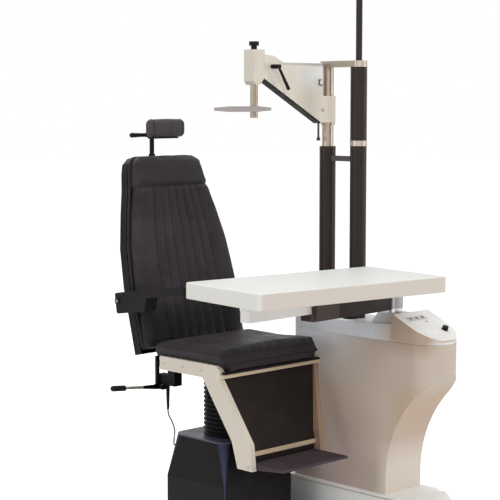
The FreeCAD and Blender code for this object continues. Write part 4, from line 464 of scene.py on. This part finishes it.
DRESS = {
    "black_steel": ["floor_plate", "seat_frame", "back_frame", "headrest_guide"],
    "base": ["chair_base_housing"],
    "cap": ["chair_base_cap"],
    "steel": ["lift_outer_column", "lift_inner_column", "lift_ram", "back_hinge_pin"],
    "pump": ["lift_pump_unit", "console_power_unit"],
    "rubber": ["lift_bellows"],
    "cream": ["right_side_bracket"],
    "cream_painted_shade": ["left_side_bracket"],
    "gold": ["legrest_crossbars"],
    "calf": ["calf_panel"],
    "shell": ["back_shell", "headrest_board"],
    "casing": ["recline_casing"],
    "tread": ["footplate"],
    "rod": ["recline_lever_rod"],
    "pole_chrome": ["arm_pole_upper", "arm_height_collar"],
    "shaft": ["refractor_shaft"],
    "pin": ["arm_lock_pin"],
    "grip": ["recline_lever_grip", "headrest_lever", "arm_clamp_lever", "arm_top_knob",
             "table_brake_knob", "control_knob"],
    "arm_pad": ["left_armrest", "right_armrest"],
    "trim": ["headrest_post", "arm_underside_trim"],
    "console": ["console_body"],
    "plinth": ["console_plinth"],
    "moulding": ["console_top_cover"],
    "panel": ["control_panel"],
    "button": ["control_button_1", "control_button_2", "control_button_3"],
    "pole": ["arm_pole_lower", "lamp_column", "lamp_pole"],
    "alloy": ["pole_top_bracket", "lamp_column_ring"],
    "post": ["table_post"],
    "link": ["pole_link"],
    "enamel": ["arm_casting"],
    "instrument_rail": ["refractor_rail"],
    "swing": ["table_swing_arm"],
    "laminate": ["table_top"],
    "light_rail": ["table_support_rail"],
}


def wear(item, finish):
    item.data.materials.clear()
    item.data.materials.append(FINISHES[finish].material)


def dress_nodes():
    for finish, names in DRESS.items():
        for name in names:
            for slot in NODES[name].material_slots:
                slot.material = FINISHES[finish].material


dress_nodes()


# Mesh helpers

def mesh_object(name, vertices, faces, finish, body, sharp=None):
    """A smooth piece whose faces all look outward; edges above an angle may stay sharp."""
    mesh = bpy.data.meshes.new(name)
    mesh.from_pydata([tuple(v) for v in vertices], [], faces)
    mesh.validate()
    item = add_object(name, mesh)
    work = bmesh.new()
    work.from_mesh(mesh)
    bmesh.ops.recalc_face_normals(work, faces=work.faces)
    work.to_mesh(mesh)
    work.free()
    mesh.shade_smooth()
    wear(item, finish)
    if sharp:
        sharp_by_angle(item, sharp)
    if body:
        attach(item, body)
    return item


def turns(steps):
    """The angles of a full circle's equal steps."""
    return [2 * math.pi * step / steps for step in range(steps)]


def ring_faces(low, high, steps):
    """Faces between two rings of vertices, which are named by their first ones."""
    return [(low + i, low + (i + 1) % steps, high + (i + 1) % steps, high + i) for i in range(steps)]


def spokes(axis, steps):
    """Unit vectors round an axis, at equal steps."""
    side = axis.orthogonal().normalized()
    other = axis.cross(side)
    return [side * math.cos(turn) + other * math.sin(turn) for turn in turns(steps)]


def lathe(profile, place, axis, steps):
    """Vertices and faces of a turned shape: (distance along the axis, radius) pairs."""
    axis = Vector(axis).normalized()
    place = Vector(place)
    vertices, faces = [], []
    for along, radius in profile:
        vertices += [place + axis * along + spoke * radius for spoke in spokes(axis, steps)]
    last = (len(profile) - 1) * steps
    for ring in range(0, last, steps):
        faces += ring_faces(ring, ring + steps, steps)
    faces.append(tuple(range(steps)))
    faces.append(tuple(range(last, last + steps)))
    return vertices, faces


def sharp_by_angle(item, degrees):
    """Keeps an edge smooth only where its two faces meet at less than an angle."""
    mesh = item.data
    work = bmesh.new()
    work.from_mesh(mesh)
    for edge in work.edges:
        edge.smooth = len(edge.link_faces) == 2 and edge.calc_face_angle(0) < math.radians(degrees)
    work.to_mesh(mesh)
    work.free()


SHARP_ANGLE = 32


def turned(name, profile, place, axis, finish, body, steps):
    return mesh_object(name, *lathe(profile, place, axis, steps), finish, body, SHARP_ANGLE)


BOLT_STEPS = 36


def bolt(name, place, axis, radius, body, finish="screw"):
    """A domed screw head with a six-sided recess, sunk a little into what it holds."""
    height = radius * 0.55
    profile = [(-0.001, radius * 0.96), (height * 0.35, radius), (height * 0.75, radius * 0.9),
               (height, radius * 0.62), (height, radius * 0.5)]
    axis = Vector(axis).normalized()
    vertices, faces = lathe(profile, place, axis, BOLT_STEPS)
    faces.pop()
    start = len(vertices)
    for depth in (height, height * 0.35):
        for turn, spoke in zip(turns(BOLT_STEPS), spokes(axis, BOLT_STEPS)):
            flat = radius * 0.42 / max(math.cos(turn % (math.pi / 3) - math.pi / 6), 0.5)
            vertices.append(Vector(place) + axis * depth + spoke * flat)
    floor = start + BOLT_STEPS
    faces += ring_faces(start - BOLT_STEPS, start, BOLT_STEPS) + ring_faces(start, floor, BOLT_STEPS)
    faces.append(tuple(range(floor, floor + BOLT_STEPS)))
    mesh_object(name, vertices, faces, finish, body, SHARP_ANGLE)


def rounded_prism(name, x, y, z, radius, finish, body, turn=None, segments=3):
    """A block with rounded edges; turn is a matrix that places it."""
    work = bmesh.new()
    bmesh.ops.create_cube(work, size=1)
    for vertex in work.verts:
        vertex.co = Vector([span[value > 0] for span, value in zip((x, y, z), vertex.co)])
    bmesh.ops.bevel(work, geom=work.edges[:], offset=radius, segments=segments, profile=0.5,
                    affect="EDGES")
    if turn is not None:
        bmesh.ops.transform(work, matrix=turn, verts=work.verts)
    mesh = bpy.data.meshes.new(name)
    work.to_mesh(mesh)
    work.free()
    item = add_object(name, mesh)
    mesh.shade_smooth()
    wear(item, finish)
    sharp_by_angle(item, 40)
    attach(item, body)


def tube_along(name, points, radius, finish, body, closed=False, steps=10):
    """A round bead that follows points."""
    places = [Vector(p) for p in points]
    count = len(places)
    vertices, faces = [], []
    normal = None
    for index, place in enumerate(places):
        before = places[index - 1] if closed or index else place
        after = places[(index + 1) % count] if closed or index < count - 1 else place
        heading = (after - before).normalized()
        if normal is None:
            normal = heading.orthogonal().normalized()
        normal = (normal - heading * normal.dot(heading)).normalized()
        other = heading.cross(normal)
        for turn in turns(steps):
            vertices.append(place + (normal * math.cos(turn) + other * math.sin(turn)) * radius)
    for ring in range(count if closed else count - 1):
        faces += ring_faces(ring * steps, ((ring + 1) % count) * steps, steps)
    if not closed:
        faces.append(tuple(range(steps)))
        faces.append(tuple(range((count - 1) * steps, count * steps)))
    return mesh_object(name, vertices, faces, finish, body)


# The cable between the seat and the base

CABLE_ROUTE = [
    (-0.204, 0.112, 0.4319), (-0.204, 0.112, 0.410), (-0.182, 0.115, 0.384), (-0.152, 0.132, 0.340),
    (-0.122, 0.172, 0.302), (-0.100, 0.200, 0.262), (-0.100, 0.1689, 0.262),
]
CABLE_RADIUS = 0.003


def nurbs_points(route):
    data = bpy.data.curves.new("cable_line", "CURVE")
    data.dimensions = "3D"
    data.resolution_u = 16
    spline = data.splines.new("NURBS")
    spline.points.add(len(route) - 1)
    for point, place in zip(spline.points, route):
        point.co = (*place, 1)
    spline.order_u = 3
    spline.use_endpoint_u = True
    line = add_object("cable_line", data)
    bpy.context.view_layer.update()
    mesh = bpy.data.meshes.new_from_object(line.evaluated_get(bpy.context.evaluated_depsgraph_get()))
    points = [vertex.co.copy() for vertex in mesh.vertices]
    bpy.data.objects.remove(line)
    bpy.data.meshes.remove(mesh)
    return points


def make_cable():
    points = nurbs_points(CABLE_ROUTE)
    cable = tube_along("seat_cable", points, CABLE_RADIUS, "cable", None, steps=14)
    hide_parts("lift_cable")
    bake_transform(cable)


make_cable()


GLAND_RADIUS = 0.0079
GLAND_TAPER = 0.0026
GLAND_TIP = 0.0048
GLAND_RINGS = 11
GLAND_HEAD_SHARE = 0.1
GLAND_RINGED_SHARE = 0.86


def make_gland():
    """A strain relief with rings that narrows towards the cable."""
    low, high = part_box("cable_gland")
    x, y = (low[0] + high[0]) / 2, (low[1] + high[1]) / 2
    top, bottom = high[2], low[2]
    profile = [(0, GLAND_RADIUS)]
    pitch = (top - bottom) * GLAND_RINGED_SHARE / GLAND_RINGS
    for ring in range(GLAND_RINGS):
        share = ring / GLAND_RINGS
        radius = GLAND_RADIUS - GLAND_TAPER * share
        start = (top - bottom) * (GLAND_HEAD_SHARE + GLAND_RINGED_SHARE * share)
        profile += [(start, radius), (start + pitch * 0.5, radius * 0.98),
                    (start + pitch * 0.62, radius * 0.8), (start + pitch * 0.88, radius * 0.8)]
    profile.append((top - bottom, GLAND_TIP))
    gland = turned("gland_rings", profile, (x, y, top), (0, 0, -1), "gland", "seat", 32)
    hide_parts("cable_gland")


make_gland()


# Cushions

def node_mesh(name):
    """A copy of a CAD node's mesh, with its place in the mesh."""
    source = NODES[name]
    mesh = source.data.copy()
    mesh.transform(source.matrix_world)
    return mesh


def puffed(name, node, inset, voxel, pressure, cap, frames=20):
    """A cushion: the node's own form, drawn in, remeshed and swollen as cloth."""
    mesh = node_mesh(node)
    item = add_object(name, mesh)
    bpy.context.view_layer.objects.active = item
    remesh = item.modifiers.new("remesh", "REMESH")
    remesh.mode = "VOXEL"
    remesh.voxel_size = voxel
    bake_modifiers(item)
    shrink(item.data, inset)
    rest = [vertex.co.copy() for vertex in item.data.vertices]
    cloth = item.modifiers.new("cloth", "CLOTH")
    settings = cloth.settings
    settings.quality = 5
    settings.mass = 0.4
    settings.tension_stiffness = 18
    settings.compression_stiffness = 18
    settings.bending_stiffness = 0.6
    settings.use_pressure = True
    settings.uniform_pressure_force = pressure
    settings.effector_weights.gravity = 0
    cloth.point_cache.frame_start = 1
    cloth.point_cache.frame_end = frames
    for number in range(1, frames + 1):
        scene.frame_set(number)
    bake_modifiers(item)
    for vertex, place in zip(item.data.vertices, rest):
        step = vertex.co - place
        if step.length > cap:
            vertex.co = place + step.normalized() * cap
    scene.frame_set(1)
    return item


def bake_modifiers(item):
    """Turns what the modifiers make into the piece's own mesh."""
    bpy.context.view_layer.update()
    graph = bpy.context.evaluated_depsgraph_get()
    mesh = bpy.data.meshes.new_from_object(item.evaluated_get(graph))
    item.modifiers.clear()
    old = item.data
    item.data = mesh
    bpy.data.meshes.remove(old)


def shrink(mesh, amount):
    """Draws a surface in along its normals."""
    normals = [vertex.normal.copy() for vertex in mesh.vertices]
    for vertex, normal in zip(mesh.vertices, normals):
        vertex.co -= normal * amount


def relax(item, rounds=2):
    """Evens out the steps that the voxels leave."""
    smooth = item.modifiers.new("smooth", "SMOOTH")
    smooth.factor = 0.5
    smooth.iterations = rounds
    bake_modifiers(item)


def refine(item):
    """One level of subdivision, smooth shaded."""
    subdivide = item.modifiers.new("subdivide", "SUBSURF")
    subdivide.levels = 1
    subdivide.render_levels = 1
    bake_modifiers(item)
    item.data.shade_smooth()


def part_way(distance, span):
    """How much of a span a distance covers, from 0 to 1."""
    return min(max(distance / span, 0), 1)


def groove(distance, width):
    """How deep a sewn line pulls the cover in, from 1 at the line to 0 beside it."""
    return math.exp(-(distance / width) ** 2)


def surface_of(item):
    return BVHTree.FromObject(item, bpy.context.evaluated_depsgraph_get())


def project_path(item, points, direction, lift=0.0):
    """Points moved along a direction until they lie on a piece's surface."""
    tree = surface_of(item)
    direction = Vector(direction).normalized()
    out = []
    for point in points:
        hit = tree.ray_cast(Vector(point) - direction * 0.3, direction)
        if hit[0] is not None:
            out.append(hit[0] - direction * lift)
    return out


def nearest_path(item, points, sink=0.0):
    """The nearest places on a piece's surface, sunk in a little."""
    tree = surface_of(item)
    out = []
    for point in points:
        place, normal, _, _ = tree.find_nearest(Vector(point))
        out.append(place - normal * sink)
    return out


THREAD_SIDES = 6
# Shares of a stitch's length and of its radius, from one end to the other
THREAD_SHARES = ((0, 0.4), (0.25, 1), (0.75, 1), (1, 0.4))


def stitches(name, path, length, gap, radius, finish, body):
    """Short threads laid end to end along a path."""
    vertices, faces = [], []
    lengths = [0]
    for a, b in zip(path, path[1:]):
        lengths.append(lengths[-1] + (b - a).length)

    def at(distance):
        for index in range(len(path) - 1):
            if lengths[index + 1] >= distance:
                span = lengths[index + 1] - lengths[index]
                share = (distance - lengths[index]) / span if span else 0
                return path[index].lerp(path[index + 1], share)
        return path[-1]

    place = 0.0
    while place + length < lengths[-1]:
        a, b = at(place), at(place + length)
        start = len(vertices)
        for share, size in THREAD_SHARES:
            for spoke in spokes((b - a).normalized(), THREAD_SIDES):
                vertices.append(a.lerp(b, share) + spoke * radius * size)
        last = start + (len(THREAD_SHARES) - 1) * THREAD_SIDES
        for ring in range(start, last, THREAD_SIDES):
            faces += ring_faces(ring, ring + THREAD_SIDES, THREAD_SIDES)
        faces.append(tuple(range(start, start + THREAD_SIDES)))
        faces.append(tuple(range(last, last + THREAD_SIDES)))
        place += length + gap
    mesh_object(name, vertices, faces, finish, body)


SEAT_HALF, SEAT_FRONT, SEAT_REAR = 0.252, -0.246, 0.150
SEAT_STEP, SEAT_TOP = 0.637, 0.673
SEAT_CORNER, SEAT_CORNER_GROWTH = 0.045, 0.04
SEAT_DISH = 0.007
DISH_Y, DISH_HALF_X, DISH_HALF_Y = -0.02, 0.15, 0.13
SEAT_SIDE_WALL = 0.012
SEAT_RIM_LIFT, SEAT_FRONT_LIFT = 0.004, 0.006
SEAT_RIM_X, SEAT_FRONT_Y = 0.10, -0.05
SEAT_DRAW_X, SEAT_DRAW_Y = 0.004, 0.006
SEAT_RING_STEP = 0.01


def seat_ring(inset, z, corner=SEAT_CORNER):
    """A rounded rectangle round the seat, at one height."""
    points = []
    x0, x1 = -SEAT_HALF + inset, SEAT_HALF - inset
    y0, y1 = SEAT_FRONT + inset, SEAT_REAR - inset
    centres = [(x1 - corner, y0 + corner, -90), (x1 - corner, y1 - corner, 0),
               (x0 + corner, y1 - corner, 90), (x0 + corner, y0 + corner, 180)]
    for cx, cy, start in centres:
        for step in range(13):
            turn = math.radians(start + 90 * step / 12)
            points.append(Vector((cx + corner * math.cos(turn), cy + corner * math.sin(turn), z)))
    dense = []
    for a, b in zip(points, points[1:] + points[:1]):
        pieces = max(1, int((b - a).length / SEAT_RING_STEP))
        dense += [a.lerp(b, share / pieces) for share in range(pieces)]
    return dense


def sculpt_seat(item):
    """Rounds the standing corners, dishes the middle and adds soft strain lines."""
    for vertex in item.data.vertices:
        x, y, z = vertex.co
        if z > SEAT_STEP + SEAT_SIDE_WALL:
            up = part_way(z - SEAT_STEP - SEAT_SIDE_WALL, 0.03)
            dish = math.exp(-((x / DISH_HALF_X) ** 2 + ((y - DISH_Y) / DISH_HALF_Y) ** 2))
            vertex.co.z -= SEAT_DISH * dish * up
            radial = noise.noise(Vector((x * 9, y * 22, 0.3))) * 0.0016
            pull = noise.noise(Vector((x * 40, y * 12, 4.1))) * 0.0007
            edge = max(abs(x) / SEAT_HALF, y / SEAT_FRONT)
            vertex.co.z += (radial + pull * min(edge, 1)) * up
            front = part_way(SEAT_FRONT_Y - y, 0.16)
            rim = max(part_way(abs(x) - SEAT_RIM_X, 0.12), front)
            vertex.co.z += (SEAT_RIM_LIFT * rim + SEAT_FRONT_LIFT * front) * up
        share = part_way(z - SEAT_STEP, 0.04)
        radius = SEAT_CORNER + SEAT_CORNER_GROWTH * share
        corner_x = abs(x) - (SEAT_HALF - SEAT_DRAW_X * share - radius)
        corner_y = (SEAT_FRONT + SEAT_DRAW_Y * share + radius) - y
        if corner_x > 0 and corner_y > 0 and z > SEAT_STEP - 0.004:
            reach = math.hypot(corner_x, corner_y)
            if reach > radius - 0.002:
                scale = (radius - 0.002) / reach
                vertex.co.x = math.copysign(abs(x) - corner_x * (1 - scale), x)
                vertex.co.y = y + corner_y * (1 - scale)


# Each bead's name, inset, height, how far it is sunk in, and radius
SEAT_PIPING = [
    ("low", 0.001, SEAT_STEP + 0.004, 0.0005, 0.0022),
    ("high", 0.004, SEAT_TOP + 0.002, 0.0006, 0.0020),
]


def make_seat():
    seat = puffed("seat_pad", "seat_cushion", inset=0.0035, voxel=0.0055, pressure=4.0, cap=0.009)
    relax(seat, 3)
    sculpt_seat(seat)
    relax(seat, 2)
    refine(seat)
    wear(seat, "leather")
    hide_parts("seat_cushion")
    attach(seat, "seat")
    for name, inset, z, sink, radius in SEAT_PIPING:
        bead = nearest_path(seat, seat_ring(inset, z), sink)
        tube_along(f"seat_piping_{name}", bead, radius, "piping", "seat", closed=True)


BACK_TURN = math.radians(13.7)
BACK_PIVOT = Vector((0, 0.175, 0.600))


def to_back(point):
    """A world point in the backrest's own upright frame."""
    return Matrix.Rotation(BACK_TURN, 4, "X") @ (Vector(point) - BACK_PIVOT)


def from_back(point):
    """A point of the backrest's own frame in the world."""
    return BACK_PIVOT + Matrix.Rotation(-BACK_TURN, 4, "X") @ Vector(point)


BACKWARD = from_back((0, 1, 0)) - from_back((0, 0, 0))
# Height and half width in the backrest's own frame, from the foot up
BACK_HALF = [(0.050, 0.249), (0.160, 0.250), (0.289, 0.252), (0.436, 0.240), (0.566, 0.211),
             (0.655, 0.188), (0.722, 0.175), (0.755, 0.164), (0.779, 0.136)]
BACK_SEAM = 0.655
SEAM_DEPTH, SEAM_WIDTH = 0.0036, 0.006
BOLSTER_SHARE = 0.22
CHANNELS = 6
CHANNEL_FOOT = 0.062
CHANNEL_DEPTH, CHANNEL_WIDTH = 0.0034, 0.0042
STITCH_FOOT, STITCH_TOP = 0.066, BACK_SEAM - 0.008
FRONT_Y = -0.02
EDGE_WELT_INSET, EDGE_WELT_Y, EDGE_WELT_RADIUS = 0.0065, 0.0185, 0.0058
BACK_CORNER = 0.045
BACK_TOP = BACK_HALF[-1][0]
CORNER_Z = BACK_TOP - BACK_CORNER


def back_half(z):
    """The backrest's half width at a height of its own frame."""
    for (z0, h0), (z1, h1) in zip(BACK_HALF, BACK_HALF[1:]):
        if z <= z1:
            share = max((z - z0) / (z1 - z0), 0)
            return h0 + (h1 - h0) * share
    return BACK_HALF[-1][1]


CORNER_X = back_half(CORNER_Z) - BACK_CORNER


def back_outline(inset):
    """The backrest's outline in its own frame, with round top corners, drawn in a little."""
    foot = BACK_HALF[0][0] + inset
    side = []
    for step in range(71):
        z = foot + (CORNER_Z - foot) * step / 70
        side.append((back_half(z) - inset, z))
    reach = BACK_CORNER - inset
    for step in range(1, 17):
        turn = math.pi / 2 * step / 16
        side.append((CORNER_X + reach * math.cos(turn), CORNER_Z + reach * math.sin(turn)))
    across = [(CORNER_X * (1 - 2 * step / 16), BACK_TOP - inset) for step in range(1, 16)]
    return side + across + [(-x, z) for x, z in reversed(side)]


def polygon_reach(turn):
    """How far the CAD outline is from the corner's centre, in one direction."""
    way = Vector((math.cos(turn), math.sin(turn)))
    corners = [(half, z) for z, half in BACK_HALF[-3:]] + [(0, BACK_TOP)]
    best = 1.0
    for (x0, z0), (x1, z1) in zip(corners, corners[1:]):
        start = Vector((x0 - CORNER_X, z0 - CORNER_Z))
        span = Vector((x1 - x0, z1 - z0))
        cross = way.x * span.y - way.y * span.x
        if abs(cross) > 1e-9:
            along = (start.x * span.y - start.y * span.x) / cross
            share = (start.x * way.y - start.y * way.x) / cross
            if along > 0 and -0.001 <= share <= 1.001:
                best = min(best, along)
    return best


def round_corners(item):
    """Swells the cut top corners of the pad into round ones."""
    for vertex in item.data.vertices:
        own = to_back(vertex.co)
        x, z = abs(own.x) - CORNER_X, own.z - CORNER_Z
        if x > 0 and z > 0:
            edge = polygon_reach(math.atan2(z, x))
            share = min(math.hypot(x, z) / edge, 1)
            scale = 1 + (BACK_CORNER / edge - 1) * share ** 3
            own.x = math.copysign(CORNER_X + x * scale, own.x)
            own.z = CORNER_Z + z * scale
            vertex.co = from_back(own)


def channel_lines(z):
    """Where the sewn lines cross a height, from one bolster to the other."""
    inner = back_half(z) * (1 - 2 * BOLSTER_SHARE)
    return [inner - 2 * inner * step / CHANNELS for step in range(CHANNELS + 1)]


def sculpt_back(item):
    """Sewn channels, the seam under the head panel and a few soft creases."""
    for vertex in item.data.vertices:
        own = to_back(vertex.co)
        if own.y > 0.004:
            continue
        depth = 0.0
        if CHANNEL_FOOT < own.z < BACK_SEAM:
            nearest = min(abs(own.x - line) for line in channel_lines(own.z))
            fade = min((BACK_SEAM - own.z) / 0.02, 1)
            depth += CHANNEL_DEPTH * groove(nearest, CHANNEL_WIDTH) * fade
        inside = part_way(back_half(own.z) - 0.012 - abs(own.x), 0.03)
        depth += SEAM_DEPTH * groove(own.z - BACK_SEAM, SEAM_WIDTH) * inside
        depth += 0.0011 * noise.noise(Vector((own.x * 12, own.z * 26, 1.7)))
        sag = noise.noise(Vector((own.x * 30, own.z * 9, 8.2)))
        depth += 0.0007 * sag
        own.y += depth
        vertex.co = from_back(own)


def make_back():
    back = puffed("back_pad", "back_cushion", inset=0.002, voxel=0.0050, pressure=4.0, cap=0.008)
    relax(back, 1)
    round_corners(back)
    refine(back)
    sculpt_back(back)
    wear(back, "leather")
    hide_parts("back_cushion")
    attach(back, "backrest")
    rows = [STITCH_FOOT + (STITCH_TOP - STITCH_FOOT) * step / 60 for step in range(61)]
    for number in range(CHANNELS + 1):
        line = [from_back((channel_lines(z)[number], FRONT_Y, z)) for z in rows]
        path = project_path(back, line, BACKWARD, 0.0002)
        stitches(f"back_stitches_{number + 1}", path, length=0.0042, gap=0.0018, radius=0.00055,
                 finish="piping", body="backrest")
    width = back_half(BACK_SEAM) - 0.024
    line = [from_back((-width + 2 * width * step / 50, FRONT_Y, BACK_SEAM)) for step in range(51)]
    path = project_path(back, line, BACKWARD, -0.0002)
    tube_along("back_seam_welt", path, 0.0016, "piping", "backrest")
    edge = [from_back((x, EDGE_WELT_Y, z)) for x, z in back_outline(EDGE_WELT_INSET)]
    tube_along("back_edge_welt", edge, EDGE_WELT_RADIUS, "piping", "backrest", closed=True, steps=14)


HEAD_WELT_INSET = 0.012
HEAD_WELT_REACH = (0.03, 0.042)


def make_headrest():
    pad = puffed("headrest_pad", "headrest_cushion", inset=0.0008, voxel=0.0025, pressure=4.0,
                 cap=0.003)
    relax(pad, 1)
    refine(pad)
    wear(pad, "head_leather")
    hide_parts("headrest_cushion")
    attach(pad, "headrest")
    low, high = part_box("headrest_cushion")
    for side, x in (("left", high[0] - HEAD_WELT_INSET), ("right", low[0] + HEAD_WELT_INSET)):
        middle = Vector((x, (low[1] + high[1]) / 2, (low[2] + high[2]) / 2))
        deep, tall = HEAD_WELT_REACH
        ring = [middle + Vector((0, deep * math.cos(turn), tall * math.sin(turn))) for turn in turns(72)]
        edge = nearest_path(pad, ring, 0.0003)
        edge = [Vector((x, p.y, p.z)) for p in edge]
        tube_along(f"headrest_welt_{side}", edge, 0.0014, "piping", "headrest", closed=True)


make_seat()
make_back()
make_headrest()


# Fittings

BRACKET_FACE, BRACKET_BOLT_Z = 0.250, 0.611
BRACKET_BOLT_ROWS = (0.082, -0.02, -0.12)


def make_bracket_bolts():
    """Capped bolts through each side bracket, its foot and the end of the upper crossbar."""
    for side, name in ((-1, "right"), (1, "left")):
        for number, y in enumerate(BRACKET_BOLT_ROWS, start=1):
            bolt(f"{name}_bracket_bolt_{number}", (side * BRACKET_FACE, y, BRACKET_BOLT_Z),
                 (side, 0, 0), 0.0045, "seat", "pin_cap")
        bolt(f"{name}_foot_bolt", (side * 0.188, -0.296, 0.281), (side, 0, 0), 0.007, "footplate",
             "pin_cap")
        bolt(f"{name}_crossbar_bolt", (side * 0.243, -0.232, 0.600), (0, -1, 0), 0.0035, "seat",
             "pin_cap")


# Each board's name, spans along X, Y and Z, and finish
LEG_BOARDS = [
    ("seat_board", (-0.240, 0.240), (-0.238, -0.140), (0.6072, 0.6150), "seat_board"),
    ("calf_flap", (-0.163, 0.163), (-0.2815, -0.2755), (0.2800, 0.3115), "calf"),
]
BOARD_EDGE = 0.0015


def make_leg_details():
    """The board under the seat pad and the flap that closes the gap above the footplate."""
    for name, x, y, z, finish in LEG_BOARDS:
        rounded_prism(name, x, y, z, BOARD_EDGE, finish, "seat")


TOE_MIDDLE, TOE_REAR, TOE_FOOT = 0.420, -0.598, 0.008
TOE_REACH, TOE_HALF, TOE_TALL, TOE_CREST = 0.104, 0.113, 0.118, 0.126
TOE_ROUNDING, TOE_BLUNTNESS = 3.2, 0.75
TOE_TAPER_SHARE = 0.2
TOE_ROWS, TOE_COLUMNS = 14, 40


def make_plinth_toe():
    """The plinth's rounded front end; it draws in towards a crest just above its cut top."""
    vertices, faces = [], []
    for row in range(TOE_ROWS + 1):
        z = TOE_FOOT + TOE_TALL * row / TOE_ROWS
        full = max(1 - ((z - TOE_FOOT) / TOE_CREST) ** TOE_ROUNDING, 0) ** 0.5
        half = TOE_HALF * (1 - TOE_TAPER_SHARE + TOE_TAPER_SHARE * full)
        for column in range(TOE_COLUMNS + 1):
            turn = math.pi * column / TOE_COLUMNS
            reach = TOE_REACH * full * math.sin(turn) ** TOE_BLUNTNESS
            vertices.append((TOE_MIDDLE + half * math.cos(turn), TOE_REAR - reach, z))
    width = TOE_COLUMNS + 1
    for row in range(0, TOE_ROWS * width, width):
        for a in range(row, row + TOE_COLUMNS):
            faces.append((a, a + 1, a + 1 + width, a + width))
        faces.append((row, row + width, row + width + TOE_COLUMNS, row + TOE_COLUMNS))
    faces.append(tuple(range(width)))
    faces.append(tuple(TOE_ROWS * width + column for column in range(width)))
    mesh_object("plinth_toe", vertices, faces, "plinth", "stand", sharp=50)


BEAD_CENTRE = Vector((0.420, -0.300, 0.1165))
BEAD_STEPS = 240
BEAD_RADIUS = 0.0026
BEAD_FRONT = -0.600
BEAD_FRONT_GAP = (0.33, 0.51)


def make_plinth_bead():
    """A thin bead round the plinth's top, open at the front where the toe joins; its grey colour is
    painted shade of a bevel.
    """
    mesh = node_mesh("console_plinth")
    tree = BVHTree.FromPolygons([v.co for v in mesh.vertices],
                                [tuple(p.vertices) for p in mesh.polygons])
    ring = []
    for turn in turns(BEAD_STEPS):
        way = Vector((-math.cos(turn), -math.sin(turn), 0))
        hit = tree.ray_cast(BEAD_CENTRE - way * 0.7, way)[0]
        if hit is None:
            continue
        if hit.y > BEAD_FRONT or not BEAD_FRONT_GAP[0] <= hit.x <= BEAD_FRONT_GAP[1]:
            ring.append(hit)
    start = max(range(len(ring)), key=lambda i: (ring[i] - ring[i - 1]).length)
    path = ring[start:] + ring[:start]
    tube_along("plinth_bead", path, BEAD_RADIUS, "plinth_bead", "stand", steps=8)
    bpy.data.meshes.remove(mesh)


ARMREST_PIVOT = Vector((0.3143, 0.26776, 0.82853))


def make_armrest_details():
    """A bright screw head on the end of each armrest's pin."""
    x, y, z = ARMREST_PIVOT
    for side, name in ((-1, "right"), (1, "left")):
        bolt(f"{name}_armrest_bolt", (side * x, y, z), (side, 0, 0), 0.006, "backrest", "screw")


ARM_FACE = -0.123
HOOK_X, HOOK_Z, HOOK_BEND = 0.352, 1.630, 0.010
HOOK_RADIUS = 0.0022


def make_arm_details():
    """The small hook and the screw on the side of the casting."""
    bolt("arm_screw_low", (0.371, ARM_FACE, 1.527), (0, -1, 0), 0.0075, "arm", "pin_cap")
    top, front = HOOK_Z + HOOK_BEND, ARM_FACE - 0.008
    path = [Vector((HOOK_X, ARM_FACE + 0.002, top)), Vector((HOOK_X, ARM_FACE - 0.006, top))]
    for step in range(9):
        turn = math.radians(90 + 22.5 * step)
        path.append(Vector((HOOK_X + HOOK_BEND * math.cos(turn), front,
                            HOOK_Z + HOOK_BEND * math.sin(turn))))
    path.append(Vector((HOOK_X + 0.008, front, HOOK_Z - HOOK_BEND)))
    tube_along("arm_hook", path, HOOK_RADIUS, "dark_screw", "arm")


make_bracket_bolts()
make_leg_details()
make_plinth_toe()
make_plinth_bead()
make_armrest_details()
make_arm_details()


PANEL_PEAK_Y, PANEL_PEAK_Z = -0.520, 0.795
PANEL_DEPTH, PANEL_FALL = 0.180, 0.083
PANEL_LENGTH = math.hypot(PANEL_DEPTH, PANEL_FALL)
BUTTON_X, BUTTON_PITCH = 0.374, 0.032
BUTTON_ROW = -PANEL_LENGTH * 0.22
PILOT_X, PILOT_ROW = 0.432, -PANEL_LENGTH * 0.36
KNOB_X, KNOB_ROW = 0.465, -PANEL_LENGTH * 0.68
BUTTON_RING = [(0, 0.0058), (0, 0.0084), (0.0014, 0.0080),
               (0.0018, 0.0070), (0.0014, 0.0060), (0.0004, 0.0056)]


def panel_frame():
    """The frame of the sloping panel: Y runs up the slope from its front, Z stands on it."""
    slope = math.atan2(PANEL_FALL, PANEL_DEPTH)
    return Matrix.Translation((0, PANEL_PEAK_Y, PANEL_PEAK_Z)) @ Matrix.Rotation(slope, 4, "X")


PANEL = panel_frame()


def make_panel_details():
    """A strip under the three buttons, a ring round each, a pilot lamp and the knob's trim."""
    rounded_prism("panel_key_strip", (0.354, 0.458), (BUTTON_ROW - 0.014, BUTTON_ROW + 0.014),
                  (-0.0004, 0.0008), 0.0006, "key_strip", "stand", PANEL, 2)
    axis = PANEL.to_3x3() @ Vector((0, 0, 1))
    for number in range(3):
        place = PANEL @ Vector((BUTTON_X + BUTTON_PITCH * number, BUTTON_ROW, 0.0004))
        turned(f"button_ring_{number + 1}", BUTTON_RING, place, axis, "screw", "stand", 40)
    lamp = PANEL @ Vector((PILOT_X, PILOT_ROW, 0))
    turned("panel_lamp", [(-0.0005, 0.0036), (0.0008, 0.0036), (0.0016, 0.0026), (0.002, 0.001)],
           lamp, axis, "button", "stand", 28)
    knob = Vector((KNOB_X, KNOB_ROW, 0))
    skirt = [(0.0003, 0.0125), (0.0014, 0.0128), (0.0022, 0.0118)]
    turned("knob_skirt", skirt, PANEL @ knob, axis, "grip", "knob", 48)
    rounded_prism("knob_pointer", (KNOB_X - 0.0008, KNOB_X + 0.0008),
                  (knob.y + 0.001, knob.y + 0.0105), (0.0138, 0.0146), 0.0003, "key_strip", "knob",
                  PANEL, 2)


make_panel_details()


make_lights()
make_floor()
